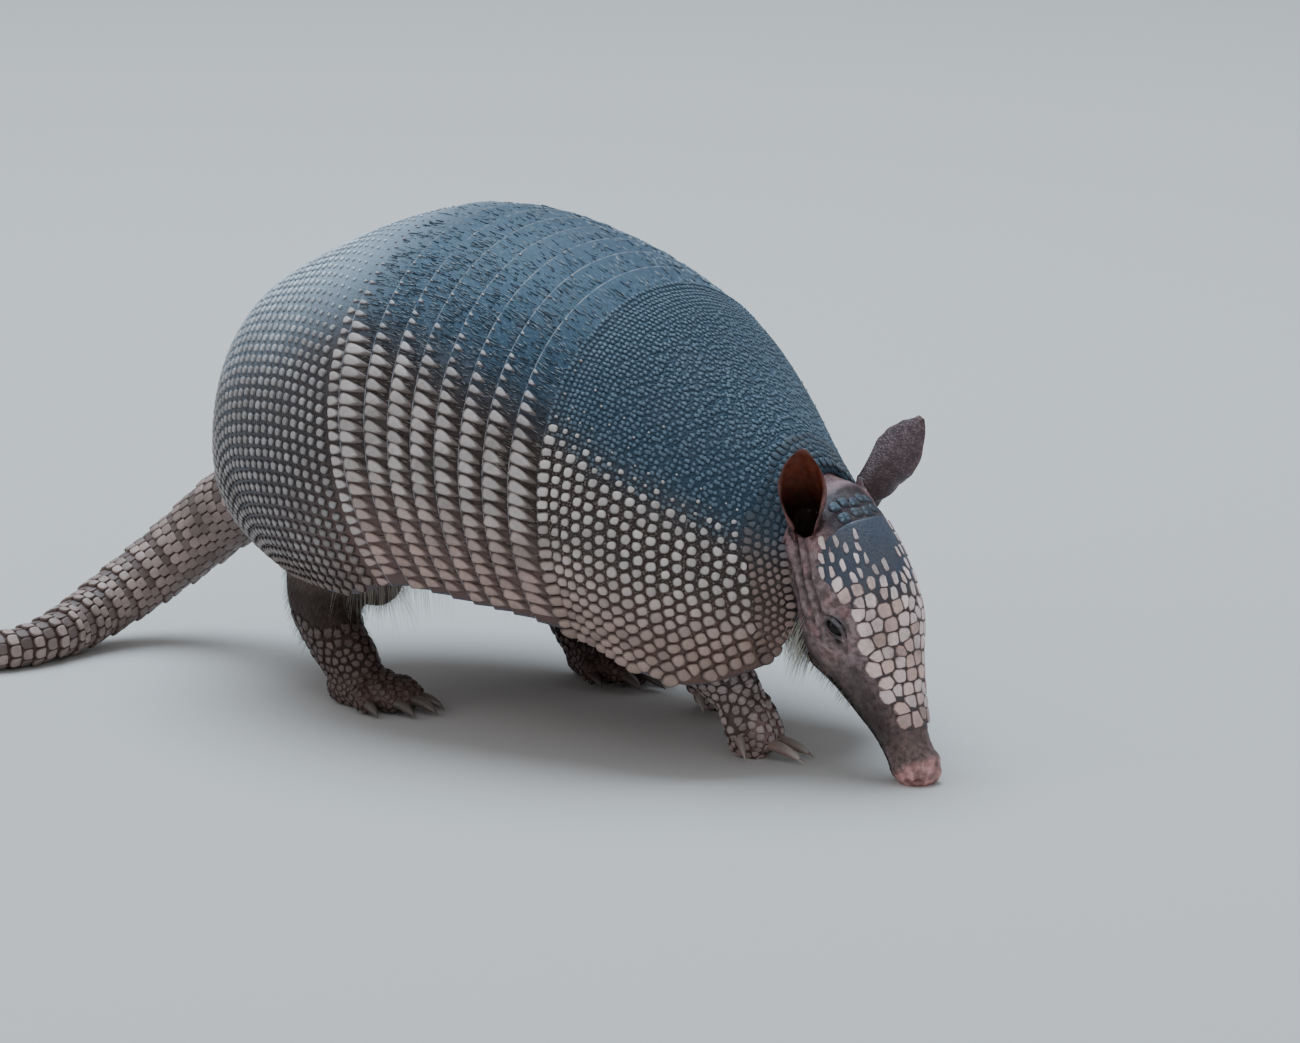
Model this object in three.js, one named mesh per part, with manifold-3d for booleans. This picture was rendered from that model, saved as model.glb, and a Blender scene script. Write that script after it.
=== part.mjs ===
// A nine-banded armadillo at life size, standing with its nose on the ground.
//
// Millimetres. +X runs from the tail towards the head, +Y to the animal's left, +Z up, and the
// soles, the nose and the far half of the tail rest on the plane z = 0. The flesh (head, neck,
// trunk, ears, legs, tail) and the shell (two shields, eight movable bands, the head shield) are
// separate closed solids, as are the eyes and every claw.

import * as THREE from 'three';
import { mergeVertices } from 'three/addons/utils/BufferGeometryUtils.js';
import Module from 'manifold-3d';

const wasm = await Module();
wasm.setup();

// ---------------------------------------------------------------------------------------------
// Driving dimensions
// ---------------------------------------------------------------------------------------------

const SEAM = 0.35; // clearance between neighbouring solids
const SHELL_THICKNESS = 3.0; // bone and horn of the shields and bands
const SHELL_LINING = 1.5; // gap between the shell's inner face and the trunk
const SHELL_EDGE = 122; // how far round from the spine the shell reaches, in degrees
const BAND_LIP = 1.1; // how far a band's rear margin stands over the front of the next one
const BAND_COUNT = 8;
// How far the belly hangs below the shell's edges, from the chest to the rump.
const BELLY_SAG = [
  { t: 0, sag: -16 },
  { t: 1.5, sag: -8 },
  { t: 4, sag: 5 },
  { t: 9, sag: 9 },
  { t: 14, sag: 5 },
  { t: 17, sag: 0 },
];

// Cross sections of the shell, front to back. t counts along the body: the scapular shield covers
// 0 to 3, each band is one unit, and the pelvic shield covers 11 to 17. A section stands at (x, z),
// leans back from upright by `lean` degrees, and is half `half` wide, with `rise` above its widest
// line and `drop` below it. `sweep` is how far its lower edge is carried forward.
const SHELL_SECTIONS = [
  { t: 0, x: 94, z: 61, lean: 19, half: 26, rise: 64, drop: 35, sweep: -12 },
  { t: 1.2, x: 32, z: 76, lean: 4, half: 65.5, rise: 79, drop: 79.5, sweep: 48 },
  { t: 3, x: 9, z: 89.5, lean: 2, half: 75, rise: 77, drop: 78.5, sweep: 9 },
  { t: 7, x: -34, z: 97, lean: 3, half: 84, rise: 85, drop: 81, sweep: 15 },
  { t: 11, x: -75, z: 102, lean: 10, half: 88, rise: 85, drop: 88, sweep: 10 },
  { t: 13, x: -105, z: 89.5, lean: 23, half: 86, rise: 86, drop: 83.5, sweep: 6 },
  { t: 15, x: -137.5, z: 77.5, lean: 33, half: 73, rise: 77, drop: 67.5, sweep: 2 },
  { t: 16.5, x: -173.5, z: 65.5, lean: 37.5, half: 45, rise: 39, drop: 36, sweep: 0 },
  { t: 17, x: -186, z: 61.5, lean: 40, half: 20.5, rise: 20.5, drop: 20.5, sweep: 0 },
];

// Cross sections of the head along its axis, which starts between the ears and ends at the nose.
// `side` and `deep` are half sizes, and `lift` moves the section towards the forehead.
const HEAD_ORIGIN = new THREE.Vector3(90.6, -3.4, 87.8);
const HEAD_PITCH = 63.7; // degrees the nose points below the horizontal
const HEAD_YAW = -2.2;
const HEAD_ROLL = 4;
const HEAD_SECTIONS = [
  { t: -12, side: 7, deep: 6, lift: 2 },
  { t: -8, side: 14, deep: 12, lift: 1 },
  { t: 0, side: 18.5, deep: 17, lift: 0 },
  { t: 12.5, side: 20.5, deep: 22.5, lift: -1.5 },
  { t: 26, side: 21.5, deep: 25, lift: -2.6 },
  { t: 40, side: 21, deep: 24, lift: -3.5 },
  { t: 53, side: 16.5, deep: 18, lift: -2.4 },
  { t: 66, side: 12.4, deep: 13.4, lift: -1.8 },
  { t: 76, side: 9.8, deep: 10.4, lift: -1.2 },
  { t: 85, side: 8.8, deep: 9.2, lift: -1.3 },
  { t: 92, side: 9.2, deep: 9.4, lift: -0.2 },
  { t: 97, side: 7.6, deep: 7.2, lift: 0.9 },
  { t: 99, side: 4.5, deep: 4.2, lift: 1.2 },
];
const HEAD_SHIELD = { gap: 1.2, thickness: 1.3, crowding: 1.3 }; // its rows crowd towards the ears
// How far round from the forehead's middle the head shield reaches, in degrees.
const HEAD_SHIELD_REACH = [
  { t: -1, reach: 34 },
  { t: 8, reach: 66 },
  { t: 16, reach: 71 },
  { t: 24, reach: 60 },
  { t: 36, reach: 50 },
  { t: 46, reach: 51 },
  { t: 60, reach: 53 },
  { t: 70, reach: 46 },
  { t: 79, reach: 31 },
];
const EYE = { along: 35, round: 84, radius: 3.4, depth: 1.9 };

const EAR = { length: 37, half: 10.8, thickness: 1.7, root: 9, setback: 3 };
const EARS = [
  { name: 'ear_right', base: [89.5, -15.8, 90], tip: [98, -30.3, 122], open: [0.42, -0.9, 0] },
  { name: 'ear_left', base: [87, 12.5, 93.5], tip: [101.4, 33.4, 124.2], open: [-0.15, 0.98, 0.1] },
];

const NECK_PATH = [
  { at: [54, 0, 82], side: 36, deep: 38 },
  { at: [71, -0.5, 81], side: 29, deep: 35 },
  { at: [84, -1, 75], side: 23.5, deep: 29 },
  { at: [94, -2, 69], side: 21, deep: 26 },
  { at: [102, -2.5, 65], side: 16, deep: 19 },
];

// The tail's centre line and half thickness, from the rump to the tip.
const TAIL_PATH = [
  { at: [-171, 0, 75.5], side: 15.5 },
  { at: [-189, 0, 66], side: 15.3 },
  { at: [-214, -2, 52.5], side: 14.7 },
  { at: [-229, -8, 39], side: 13.6 },
  { at: [-239, -19, 27.5], side: 12.6 },
  { at: [-245, -36, 17.5], side: 11.4 },
  { at: [-245, -58, 10.6], side: 9.7 },
  { at: [-243, -81, 7.9], side: 8 },
  { at: [-250, -103, 6.7], side: 6.9 },
  { at: [-276, -123, 5.8], side: 6 },
  { at: [-312, -132.5, 5], side: 5.2 },
  { at: [-350, -135, 4.1], side: 4.3 },
  { at: [-392, -132, 3.1], side: 3.2 },
  { at: [-438, -116, 1.7], side: 1.8 },
];
const TAIL_RINGS = 24; // as counted to the very tip, where they are too faint to stand up
const TAIL_RINGS_END = 0.62; // the last part of the tail with rings that stand up
const TAIL_RING_STEP = 0.6; // how far a ring's rear margin stands over the next ring
const TAIL_JOINTS = [0, 0.36, 0.68, 1]; // where the tail's three lengths end, as parts of it

// The legs, each in its own foot's axes: forward, out to its own side, up. `turn` is how far the
// leg's broad sides are turned outwards, in degrees.
const FORE_LEG = {
  turn: 0,
  path: [
    { at: [-12, 15, 66], side: 13, deep: 16 },
    { at: [-16, 15, 50], side: 12.5, deep: 15 },
    { at: [-9, 8, 36], side: 10.5, deep: 12 },
    { at: [-2, 2, 25], side: 9.6, deep: 9.8 },
    { at: [3, 0, 15], side: 9.4, deep: 8 },
  ],
  palm: [
    { at: [-3, 0, 7], side: 6, deep: 7 },
    { at: [4, 0, 6.6], side: 7.6, deep: 8 },
    { at: [12, 0, 4.7], side: 7.6, deep: 5.7 },
  ],
  digits: [
    { out: 8.6, start: 0, rise: 21, reach: 4, splay: 22, girth: 3.8, low: 8.6, claw: 10, pitch: 55 },
    { out: 3.2, start: 3, rise: 21, reach: 11, splay: 4, girth: 5, low: 5, claw: 16, pitch: 8 },
    { out: -3.4, start: 3, rise: 21, reach: 10, splay: -4, girth: 4.9, low: 5, claw: 15, pitch: 8 },
    { out: -8.4, start: 0, rise: 19, reach: 5, splay: -20, girth: 3.7, low: 7.4, claw: 9, pitch: 42 },
  ],
};
const HIND_LEG = {
  turn: 20,
  path: [
    { at: [-19, -12, 62], side: 9, deep: 33 },
    { at: [-21, -8, 49], side: 12.5, deep: 40 },
    { at: [-23, -2, 38], side: 12.5, deep: 21 },
    { at: [-19, 0, 27], side: 11, deep: 14 },
    { at: [-9, 0, 14], side: 10, deep: 12.5 },
    { at: [-5, 0, 7], side: 9.5, deep: 10 },
  ],
  palm: [
    { at: [-18, 0, 5.7], side: 7.5, deep: 6 },
    { at: [-4, 0, 7.3], side: 10, deep: 8.5 },
    { at: [10, 0, 5.6], side: 11.5, deep: 6.3 },
  ],
  digits: [
    { out: 10, start: 0, rise: 8, reach: 9, splay: 22, girth: 3.9, low: 3.4, claw: 8, pitch: 10 },
    { out: 5.2, start: 6, rise: 9, reach: 11, splay: 9, girth: 4.5, low: 3.9, claw: 11, pitch: 5 },
    { out: 0, start: 7, rise: 9, reach: 12.5, splay: 0, girth: 4.8, low: 4.1, claw: 12, pitch: 5 },
    { out: -5.2, start: 6, rise: 9, reach: 11, splay: -9, girth: 4.5, low: 3.9, claw: 11, pitch: 5 },
    { out: -10, start: -2, rise: 8, reach: 8, splay: -20, girth: 3.8, low: 3.3, claw: 7.5, pitch: 10 },
  ],
};
// Where each foot stands: its middle, and its heading in degrees from +X towards the left.
const FEET = [
  { name: 'fore_leg_right', leg: FORE_LEG, side: -1, x: 56, y: -14, heading: 10 },
  { name: 'fore_leg_left', leg: FORE_LEG, side: 1, x: -3, y: 36, heading: -6 },
  { name: 'hind_leg_right', leg: HIND_LEG, side: -1, x: -97, y: -47, heading: 4 },
  { name: 'hind_leg_left', leg: HIND_LEG, side: 1, x: -60, y: 45, heading: -6 },
];

// ---------------------------------------------------------------------------------------------
// Materials
// ---------------------------------------------------------------------------------------------

const finish = (color, roughness) =>
  new THREE.MeshStandardMaterial({ color, roughness, metalness: 0 });
const HIDE = finish(0x7d6058, 0.75);
const SCALY_LEG = finish(0x5d463f, 0.7);
const SHELL = finish(0x55504d, 0.55);
const BAND_HORN = finish(0x6b5f58, 0.55);
const CREST = finish(0xb59a8d, 0.6);
const TAIL_HORN = finish(0x8d776c, 0.65);
const CLAW_HORN = finish(0xb9a798, 0.4);
const EYE_BLACK = finish(0x0b0a0a, 0.12);

// ---------------------------------------------------------------------------------------------
// Geometry helpers
// ---------------------------------------------------------------------------------------------

const radians = THREE.MathUtils.degToRad;

// Smooth interpolation of one size through a list of sections.
function sizeAt(sections, key, t) {
  const last = sections.length - 1;
  let i = 0;
  while (i < last - 1 && t > sections[i + 1].t) i += 1;
  const slope = (k) => {
    const a = sections[Math.max(k - 1, 0)];
    const b = sections[Math.min(k + 1, last)];
    return (b[key] - a[key]) / (b.t - a.t);
  };
  const from = sections[i];
  const to = sections[i + 1];
  const span = to.t - from.t;
  const f = (t - from.t) / span;
  const rise = to[key] - from[key];
  const startSlope = slope(i) * span;
  const endSlope = slope(i + 1) * span;
  const cubic = startSlope + endSlope - 2 * rise;
  const square = 3 * rise - 2 * startSlope - endSlope;
  return from[key] + f * (startSlope + f * (square + f * cubic));
}

// A closed geometry as a solid, turned inside out first where its faces point inwards.
function toSolid(geometry) {
  const bare = geometry.clone();
  bare.deleteAttribute('normal');
  bare.deleteAttribute('uv');
  const merged = mergeVertices(bare, 1e-4);
  const points = merged.attributes.position.array;
  const corners = [];
  let volume = 0;
  const a = new THREE.Vector3();
  const b = new THREE.Vector3();
  const c = new THREE.Vector3();
  for (let i = 0; i < merged.index.count; i += 3) {
    const triangle = [merged.index.array[i], merged.index.array[i + 1], merged.index.array[i + 2]];
    if (new Set(triangle).size < 3) continue;
    corners.push(triangle);
    a.fromArray(points, triangle[0] * 3);
    b.fromArray(points, triangle[1] * 3);
    c.fromArray(points, triangle[2] * 3);
    volume += a.dot(b.cross(c));
  }
  const turned = volume < 0 ? corners.map(([p, q, r]) => [p, r, q]) : corners;
  return new wasm.Manifold(new wasm.Mesh({
    numProp: 3,
    vertProperties: new Float32Array(points),
    triVerts: new Uint32Array(turned.flat()),
  }));
}

// The largest of the bodies that a cut has left.
function mainBody(solid) {
  return solid.decompose().reduce((most, body) => (body.volume() > most.volume() ? body : most));
}

function toGeometry(solid) {
  const { vertProperties, triVerts } = solid.getMesh();
  const geometry = new THREE.BufferGeometry();
  geometry.setAttribute('position', new THREE.BufferAttribute(vertProperties, 3));
  geometry.setIndex(new THREE.BufferAttribute(triVerts, 1));
  geometry.computeVertexNormals();
  return geometry;
}

// Moves every vertex of a geometry to place(vertex), and returns the solid.
function warp(geometry, place) {
  const positions = geometry.attributes.position;
  const vertex = new THREE.Vector3();
  for (let i = 0; i < positions.count; i += 1) {
    vertex.fromBufferAttribute(positions, i);
    const moved = place(vertex);
    positions.setXYZ(i, moved.x, moved.y, moved.z);
  }
  return toSolid(geometry);
}

// A slab: place(u, v, w) takes 0 to 1 along, across and through it.
function slab(along, across, place) {
  const box = new THREE.BoxGeometry(1, 1, 1, along, across, 1);
  return warp(box, (p) => place(p.x + 0.5, p.y + 0.5, p.z + 0.5));
}

// A rod: place(angle, radius, s) takes 0 to 1 outwards from the axis and 0 to 1 along it.
function rod(sides, rings, place) {
  const cylinder = new THREE.CylinderGeometry(1, 1, 1, sides, rings);
  return warp(cylinder, (p) => place(Math.atan2(p.x, p.z), Math.hypot(p.x, p.z), p.y + 0.5));
}

const LIMB_END = 0.38; // a limb's first and last sections, as parts of its full size

// A limb with round ends along a path of elliptical sections. `front` is the direction that its
// `deep` half size points to, and `grow` makes it that much larger all round.
function limb(path, { sides = 10, rings = 8, front = [1, 0, 0], grow = 0, blunt = 5 } = {}) {
  const curve = new THREE.CatmullRomCurve3(path.map((p) => new THREE.Vector3(...p.at)));
  const girths = path.map((p, i) => ({ t: i, side: p.side, deep: p.deep ?? p.side }));
  const frontHint = new THREE.Vector3(...front);
  return rod(sides, rings, (angle, radius, s) => {
    const f = (1 - Math.cos(Math.PI * s)) / 2;
    const centre = curve.getPoint(f);
    const tangent = curve.getTangent(f);
    centre.addScaledVector(tangent, (2 * f - 1) * grow);
    const deepAxis = frontHint.clone().addScaledVector(tangent, -frontHint.dot(tangent)).normalize();
    const sideAxis = deepAxis.clone().cross(tangent);
    const end = Math.max(LIMB_END, (1 - Math.abs(2 * f - 1) ** blunt) ** (1 / blunt));
    const t = f * (path.length - 1);
    const side = (sizeAt(girths, 'side', t) * end + grow) * radius;
    const deep = (sizeAt(girths, 'deep', t) * end + grow) * radius;
    return centre
      .addScaledVector(sideAxis, Math.sin(angle) * side)
      .addScaledVector(deepAxis, Math.cos(angle) * deep);
  });
}

// ---------------------------------------------------------------------------------------------
// Shell
// ---------------------------------------------------------------------------------------------

// A point of the shell's surface at t, `round` degrees from the spine, `out` mm off the surface.
function shellPoint(t, round, out) {
  const size = (key) => sizeAt(SHELL_SECTIONS, key, t);
  const angle = radians(round);
  const lean = radians(size('lean'));
  const up = Math.cos(angle) * ((Math.cos(angle) > 0 ? size('rise') : size('drop')) + out);
  const forward = size('sweep') * ((1 - Math.cos(angle)) / 2) ** 2;
  return new THREE.Vector3(
    size('x') - Math.sin(lean) * up + forward,
    Math.sin(angle) * (size('half') + out),
    size('z') + Math.cos(lean) * up,
  );
}

// Degrees round the shell that a plate grown by a millimetre reaches further at its lower edges.
const RIM_TURN = 4;
const RIM = 0.005; // the rows of a plate's vertices that count as its edge

// One plate of the shell between two values of t. The rear margin stands `lip` off the surface.
function shellPlate(from, to, { along, across, edge = () => SHELL_EDGE, lip = 0, grow = 0 }) {
  return slab(along, across, (u, v, w) => {
    const t = THREE.MathUtils.lerp(from, to, u);
    const reach = edge(t) + RIM_TURN * grow;
    const round = THREE.MathUtils.lerp(-reach, reach, v);
    const out = w > 0.5 ? lip * u + grow : -SHELL_THICKNESS - grow;
    const point = shellPoint(t, round, out);
    const backwards = shellPoint(t + 0.01, round, out).sub(point).normalize();
    if (u < RIM || u > 1 - RIM) point.addScaledVector(backwards, (2 * u - 1) * grow);
    if (v < RIM || v > 1 - RIM) point.z -= grow;
    return point;
  });
}

// The shields' lower corners are rounded off towards the neck and the tail.
const scapularEdge = (t) => SHELL_EDGE - 14 * Math.max(0, 1 - t / 0.4) ** 2;
const pelvicEdge = (t) => SHELL_EDGE + 14 * THREE.MathUtils.smoothstep(t, 14.5, 17);

const SEAM_T = 0.03; // the same seam along the body, in units of t
const bandStart = (index) => 3 + index;
const plates = [
  { name: 'scapular_shield', from: 0, to: 3 - SEAM_T, along: 7, across: 18, edge: scapularEdge,
    lip: BAND_LIP, material: SHELL },
  { name: 'pelvic_shield', from: 11 + SEAM_T, to: 17, along: 7, across: 18, edge: pelvicEdge,
    lip: 0, material: SHELL },
];
for (let i = 0; i < BAND_COUNT; i += 1) {
  plates.push({ name: `band_${i + 1}`, from: bandStart(i) + SEAM_T, to: bandStart(i + 1) - SEAM_T,
    along: 1, across: 18, lip: BAND_LIP, material: BAND_HORN });
}

// The trunk fills the shell and closes under it with the belly, which takes the rest of the way
// round from `edgeShare` on. A millimetre's growth moves its ends by the last numbers of `ends`.
const TRUNK = { ends: [[0.9, -0.05], [16.1, 0.1]], edgeShare: 0.72, core: 0.55 };
function trunkSolid(grow) {
  const inset = -SHELL_THICKNESS - SHELL_LINING + grow;
  const [firstT, lastT] = TRUNK.ends.map(([t, growth]) => t + grow * growth);
  const { edgeShare } = TRUNK;
  return rod(21, 10, (angle, radius, s) => {
    const t = THREE.MathUtils.lerp(firstT, lastT, 1 - s);
    const edge = SHELL_EDGE - 2;
    const share = Math.abs(angle) / Math.PI; // 0 at the spine, 1 at the middle of the belly
    const sign = Math.sign(angle) || 1;
    const point = shellPoint(t, sign * edge * Math.min(share / edgeShare, 1), inset);
    if (share > edgeShare) {
      const inward = (share - edgeShare) / (1 - edgeShare);
      const rim = shellPoint(t, sign * edge, inset);
      point.y = rim.y * (1 - inward);
      point.z = rim.z - (sizeAt(BELLY_SAG, 'sag', t) + grow) * (1 - (1 - inward) ** 2);
    }
    const middle = shellPoint(t, 0, 0).lerp(shellPoint(t, 180, 0), TRUNK.core);
    return middle.lerp(point, radius);
  });
}

// ---------------------------------------------------------------------------------------------
// Head
// ---------------------------------------------------------------------------------------------

// The head's own axes: towards the nose, to the left, and towards the forehead.
const headTurn = new THREE.Matrix4()
  .makeRotationZ(radians(HEAD_YAW))
  .multiply(new THREE.Matrix4().makeRotationY(radians(HEAD_PITCH)))
  .multiply(new THREE.Matrix4().makeRotationX(radians(HEAD_ROLL)));
const headFrame = new THREE.Matrix4().makeTranslation(HEAD_ORIGIN).multiply(headTurn);

// A point of the head's surface at `along`, `round` degrees from the forehead's middle line.
function headPoint(along, round, out, radius = 1) {
  const size = (key) => sizeAt(HEAD_SECTIONS, key, along);
  const angle = radians(round);
  return new THREE.Vector3(
    along,
    -Math.sin(angle) * (size('side') + out) * radius,
    size('lift') + Math.cos(angle) * (size('deep') + out) * radius,
  ).applyMatrix4(headFrame);
}

function headSolid(grow) {
  const first = HEAD_SECTIONS[0].t;
  const last = HEAD_SECTIONS.at(-1).t;
  return rod(16, 13, (angle, radius, s) => {
    const along = THREE.MathUtils.lerp(last + grow, first - grow, s);
    const clamped = THREE.MathUtils.clamp(along, first, last);
    const point = headPoint(clamped, THREE.MathUtils.radToDeg(angle), grow, radius);
    const past = new THREE.Vector3(along - clamped, 0, 0).transformDirection(headTurn);
    return point.addScaledVector(past, Math.abs(along - clamped));
  });
}

// The shield of the forehead: widest over the eyes, narrow on the snout.
function headShieldSolid() {
  const { gap, thickness, crowding } = HEAD_SHIELD;
  const from = HEAD_SHIELD_REACH[0].t;
  const to = HEAD_SHIELD_REACH.at(-1).t;
  return slab(7, 8, (u, v, w) => {
    const along = THREE.MathUtils.lerp(from, to, u ** crowding);
    const edge = sizeAt(HEAD_SHIELD_REACH, 'reach', along);
    return headPoint(along, THREE.MathUtils.lerp(-edge, edge, v), w > 0.5 ? gap + thickness : gap);
  });
}

function eyeSolid(side, grow) {
  const { along, round, radius, depth } = EYE;
  const centre = headPoint(along, -side * round, -depth);
  const ball = new THREE.SphereGeometry(radius + grow, 8, 6);
  return warp(ball, (p) => p.clone().add(centre));
}

// An ear: a leaf rolled into a tube at its root and open towards its tip.
function earSolid({ base, tip, open }) {
  const root = new THREE.Vector3(...base);
  const axis = new THREE.Vector3(...tip).sub(root).normalize();
  const facing = new THREE.Vector3(...open);
  facing.addScaledVector(axis, -facing.dot(axis)).normalize();
  const side = facing.clone().cross(axis);
  const leaf = [
    { t: 0, half: 0.92, curl: 118 },
    { t: 0.25, half: 1.02, curl: 92 },
    { t: 0.5, half: 1, curl: 66 },
    { t: 0.75, half: 0.72, curl: 46 },
    { t: 1, half: 0.24, curl: 24 },
  ];
  return slab(6, 4, (u, v, w) => {
    const half = EAR.half * sizeAt(leaf, 'half', u);
    const curl = radians(sizeAt(leaf, 'curl', u));
    const bend = half / curl;
    const angle = (2 * v - 1) * curl;
    const skin = bend + (w > 0.5 ? EAR.thickness / 2 : -EAR.thickness / 2);
    const height = -EAR.root + (EAR.length + EAR.root) * u;
    return root.clone()
      .addScaledVector(axis, height)
      .addScaledVector(facing, bend - skin * Math.cos(angle) - EAR.setback * (1 - u))
      .addScaledVector(side, skin * Math.sin(angle));
  });
}

// ---------------------------------------------------------------------------------------------
// Tail
// ---------------------------------------------------------------------------------------------

const tailCurve = new THREE.CatmullRomCurve3(TAIL_PATH.map((p) => new THREE.Vector3(...p.at)));
const tailGirths = TAIL_PATH.map((p, i) => ({ t: i, side: p.side }));

// A length of the tail from one part of it to another, with the rings' steps in its surface.
function tailSolid(from, to, rings) {
  return rod(9, rings, (angle, radius, s) => {
    const f = THREE.MathUtils.lerp(from, to, s);
    const centre = tailCurve.getPoint(f);
    const tangent = tailCurve.getTangent(f);
    const side = new THREE.Vector3(0, 0, 1).cross(tangent).normalize();
    const up = tangent.clone().cross(side);
    const ring = (f * TAIL_RINGS) % 1;
    const step = f < TAIL_RINGS_END ? TAIL_RING_STEP * ring : 0;
    const girth = (sizeAt(tailGirths, 'side', f * (TAIL_PATH.length - 1)) + step) * radius;
    return centre
      .addScaledVector(side, Math.sin(angle) * girth)
      .addScaledVector(up, Math.cos(angle) * girth);
  });
}

// ---------------------------------------------------------------------------------------------
// Legs and claws
// ---------------------------------------------------------------------------------------------

// A point given in a foot's own axes (forward, out to its own side, up).
function footPlace(foot, [forward, out, up]) {
  const heading = radians(foot.heading);
  const lateral = out * foot.side;
  return [
    foot.x + forward * Math.cos(heading) - lateral * Math.sin(heading),
    foot.y + forward * Math.sin(heading) + lateral * Math.cos(heading),
    up,
  ];
}

// A digit runs forward and down from the palm. Its claw carries on from it and bends to the ground.
const CLAW_PROFILE = [
  { part: -0.3, side: 0.56, deep: 0.5 },
  { part: 0.35, side: 0.5, deep: 0.46 },
  { part: 0.75, side: 0.32, deep: 0.32 },
  { part: 1, side: 0.15, deep: 0.2 },
];
function digitPath(foot, { out, start, rise, reach, splay, girth, low, claw, pitch }) {
  const turn = radians(splay);
  const dip = radians(pitch);
  const spot = (forward, up) => footPlace(foot, [
    start + forward * Math.cos(turn),
    out + forward * Math.sin(turn),
    up,
  ]);
  const clawRoot = low + 0.2 * girth;
  const clawTip = 0.24 * girth;
  return {
    toe: [
      { at: spot(0, rise), side: girth * 1.05, deep: girth * 1.1 },
      { at: spot(reach * 0.55, (rise + low) / 2), side: girth, deep: girth },
      { at: spot(reach, low), side: girth * 0.82, deep: girth * 0.86 },
    ],
    claw: CLAW_PROFILE.map(({ part, side, deep }) => {
      const behind = Math.min(part, 0) * claw * Math.sin(dip);
      const bend = Math.max(part, 0) ** 1.7;
      const up = THREE.MathUtils.lerp(clawRoot, clawTip, bend) - behind;
      return { at: spot(reach + part * claw * Math.cos(dip), up), side: girth * side, deep: girth * deep };
    }),
  };
}

const clawSolid = (path, grow) =>
  limb(path, { sides: 6, rings: 3, front: [0, 0, 1], grow, blunt: 7 });

function legSolids(foot) {
  const inFoot = (path) => path.map((p) => ({ ...p, at: footPlace(foot, p.at) }));
  const facing = radians(foot.heading + foot.side * foot.leg.turn);
  const front = [Math.cos(facing), Math.sin(facing), 0];
  let leg = limb(inFoot(foot.leg.path), { sides: 9, rings: 6, front });
  leg = leg.add(limb(inFoot(foot.leg.palm), { sides: 8, rings: 3, front: [0, 0, 1] }));
  const claws = [];
  for (const digit of foot.leg.digits) {
    const { toe, claw } = digitPath(foot, digit);
    leg = leg.add(limb(toe, { sides: 6, rings: 2, front: [0, 0, 1] }));
    claws.push(claw);
  }
  for (const claw of claws) leg = leg.subtract(clawSolid(claw, SEAM));
  return { leg, claws };
}

// ---------------------------------------------------------------------------------------------
// Assembly
// ---------------------------------------------------------------------------------------------

const armadillo = new THREE.Group();

function addPart(name, solid, material) {
  const mesh = new THREE.Mesh(toGeometry(mainBody(solid)), material);
  mesh.name = name;
  armadillo.add(mesh);
}

// Everything below the ground plane, taken off whatever rests on it.
const ground = toSolid(new THREE.BoxGeometry(1400, 1400, 60).translate(0, 0, -30));

const grownPlates = plates.map((p) => shellPlate(p.from, p.to, { ...p, grow: SEAM }));
const grownShell = grownPlates.reduce((all, plate) => all.add(plate));
for (const plate of plates) addPart(plate.name, shellPlate(plate.from, plate.to, plate), plate.material);

const trunk = trunkSolid(0);
const grownTrunk = trunkSolid(SEAM);
addPart('trunk', trunk, HIDE);

const neck = (grow) => limb(NECK_PATH, { sides: 12, rings: 4, front: [0, 0, 1], grow });
let head = headSolid(0);
for (const side of [-1, 1]) {
  head = head.subtract(eyeSolid(side, SEAM));
  addPart(side < 0 ? 'eye_right' : 'eye_left', eyeSolid(side, 0), EYE_BLACK);
}
head = head.subtract(grownShell).subtract(ground);
addPart('head', head, HIDE);
addPart('head_shield', headShieldSolid().subtract(grownShell), CREST);
addPart('neck', neck(0).subtract(headSolid(SEAM)).subtract(grownTrunk).subtract(grownShell), HIDE);

const earCutter = headSolid(SEAM).add(neck(SEAM)).add(grownShell);
for (const ear of EARS) addPart(ear.name, earSolid(ear).subtract(earCutter), HIDE);

const tailLengths = ['tail_base', 'tail_middle', 'tail_tip'];
const tailSteps = [12, 9, 6];
tailLengths.forEach((name, i) => {
  const gap = i < tailLengths.length - 1 ? SEAM / tailCurve.getLength() : 0;
  const length = tailSolid(TAIL_JOINTS[i], TAIL_JOINTS[i + 1] - gap, tailSteps[i]);
  addPart(name, length.subtract(grownTrunk).subtract(grownShell).subtract(ground), TAIL_HORN);
});

for (const foot of FEET) {
  const { leg, claws } = legSolids(foot);
  addPart(foot.name, leg.subtract(grownTrunk).subtract(grownShell).subtract(ground), SCALY_LEG);
  claws.forEach((claw, i) => {
    const name = `${foot.name.replace('leg', 'claw')}_${i + 1}`;
    addPart(name, clawSolid(claw, 0).subtract(ground), CLAW_HORN);
  });
}

// The origin is on the ground under the middle of the whole animal.
const extent = new THREE.Box3().setFromObject(armadillo);
const middle = extent.getCenter(new THREE.Vector3());
armadillo.position.set(-middle.x, -middle.y, 0);

export default armadillo;
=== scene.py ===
# A nine-banded armadillo at life size, standing with its nose on the ground.
# Metres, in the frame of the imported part: +X towards the head, +Y to the animal's left, +Z up.

import math

import bmesh
import bpy
import numpy as np
from mathutils import Matrix, Vector, noise
from mathutils.bvhtree import BVHTree


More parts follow.
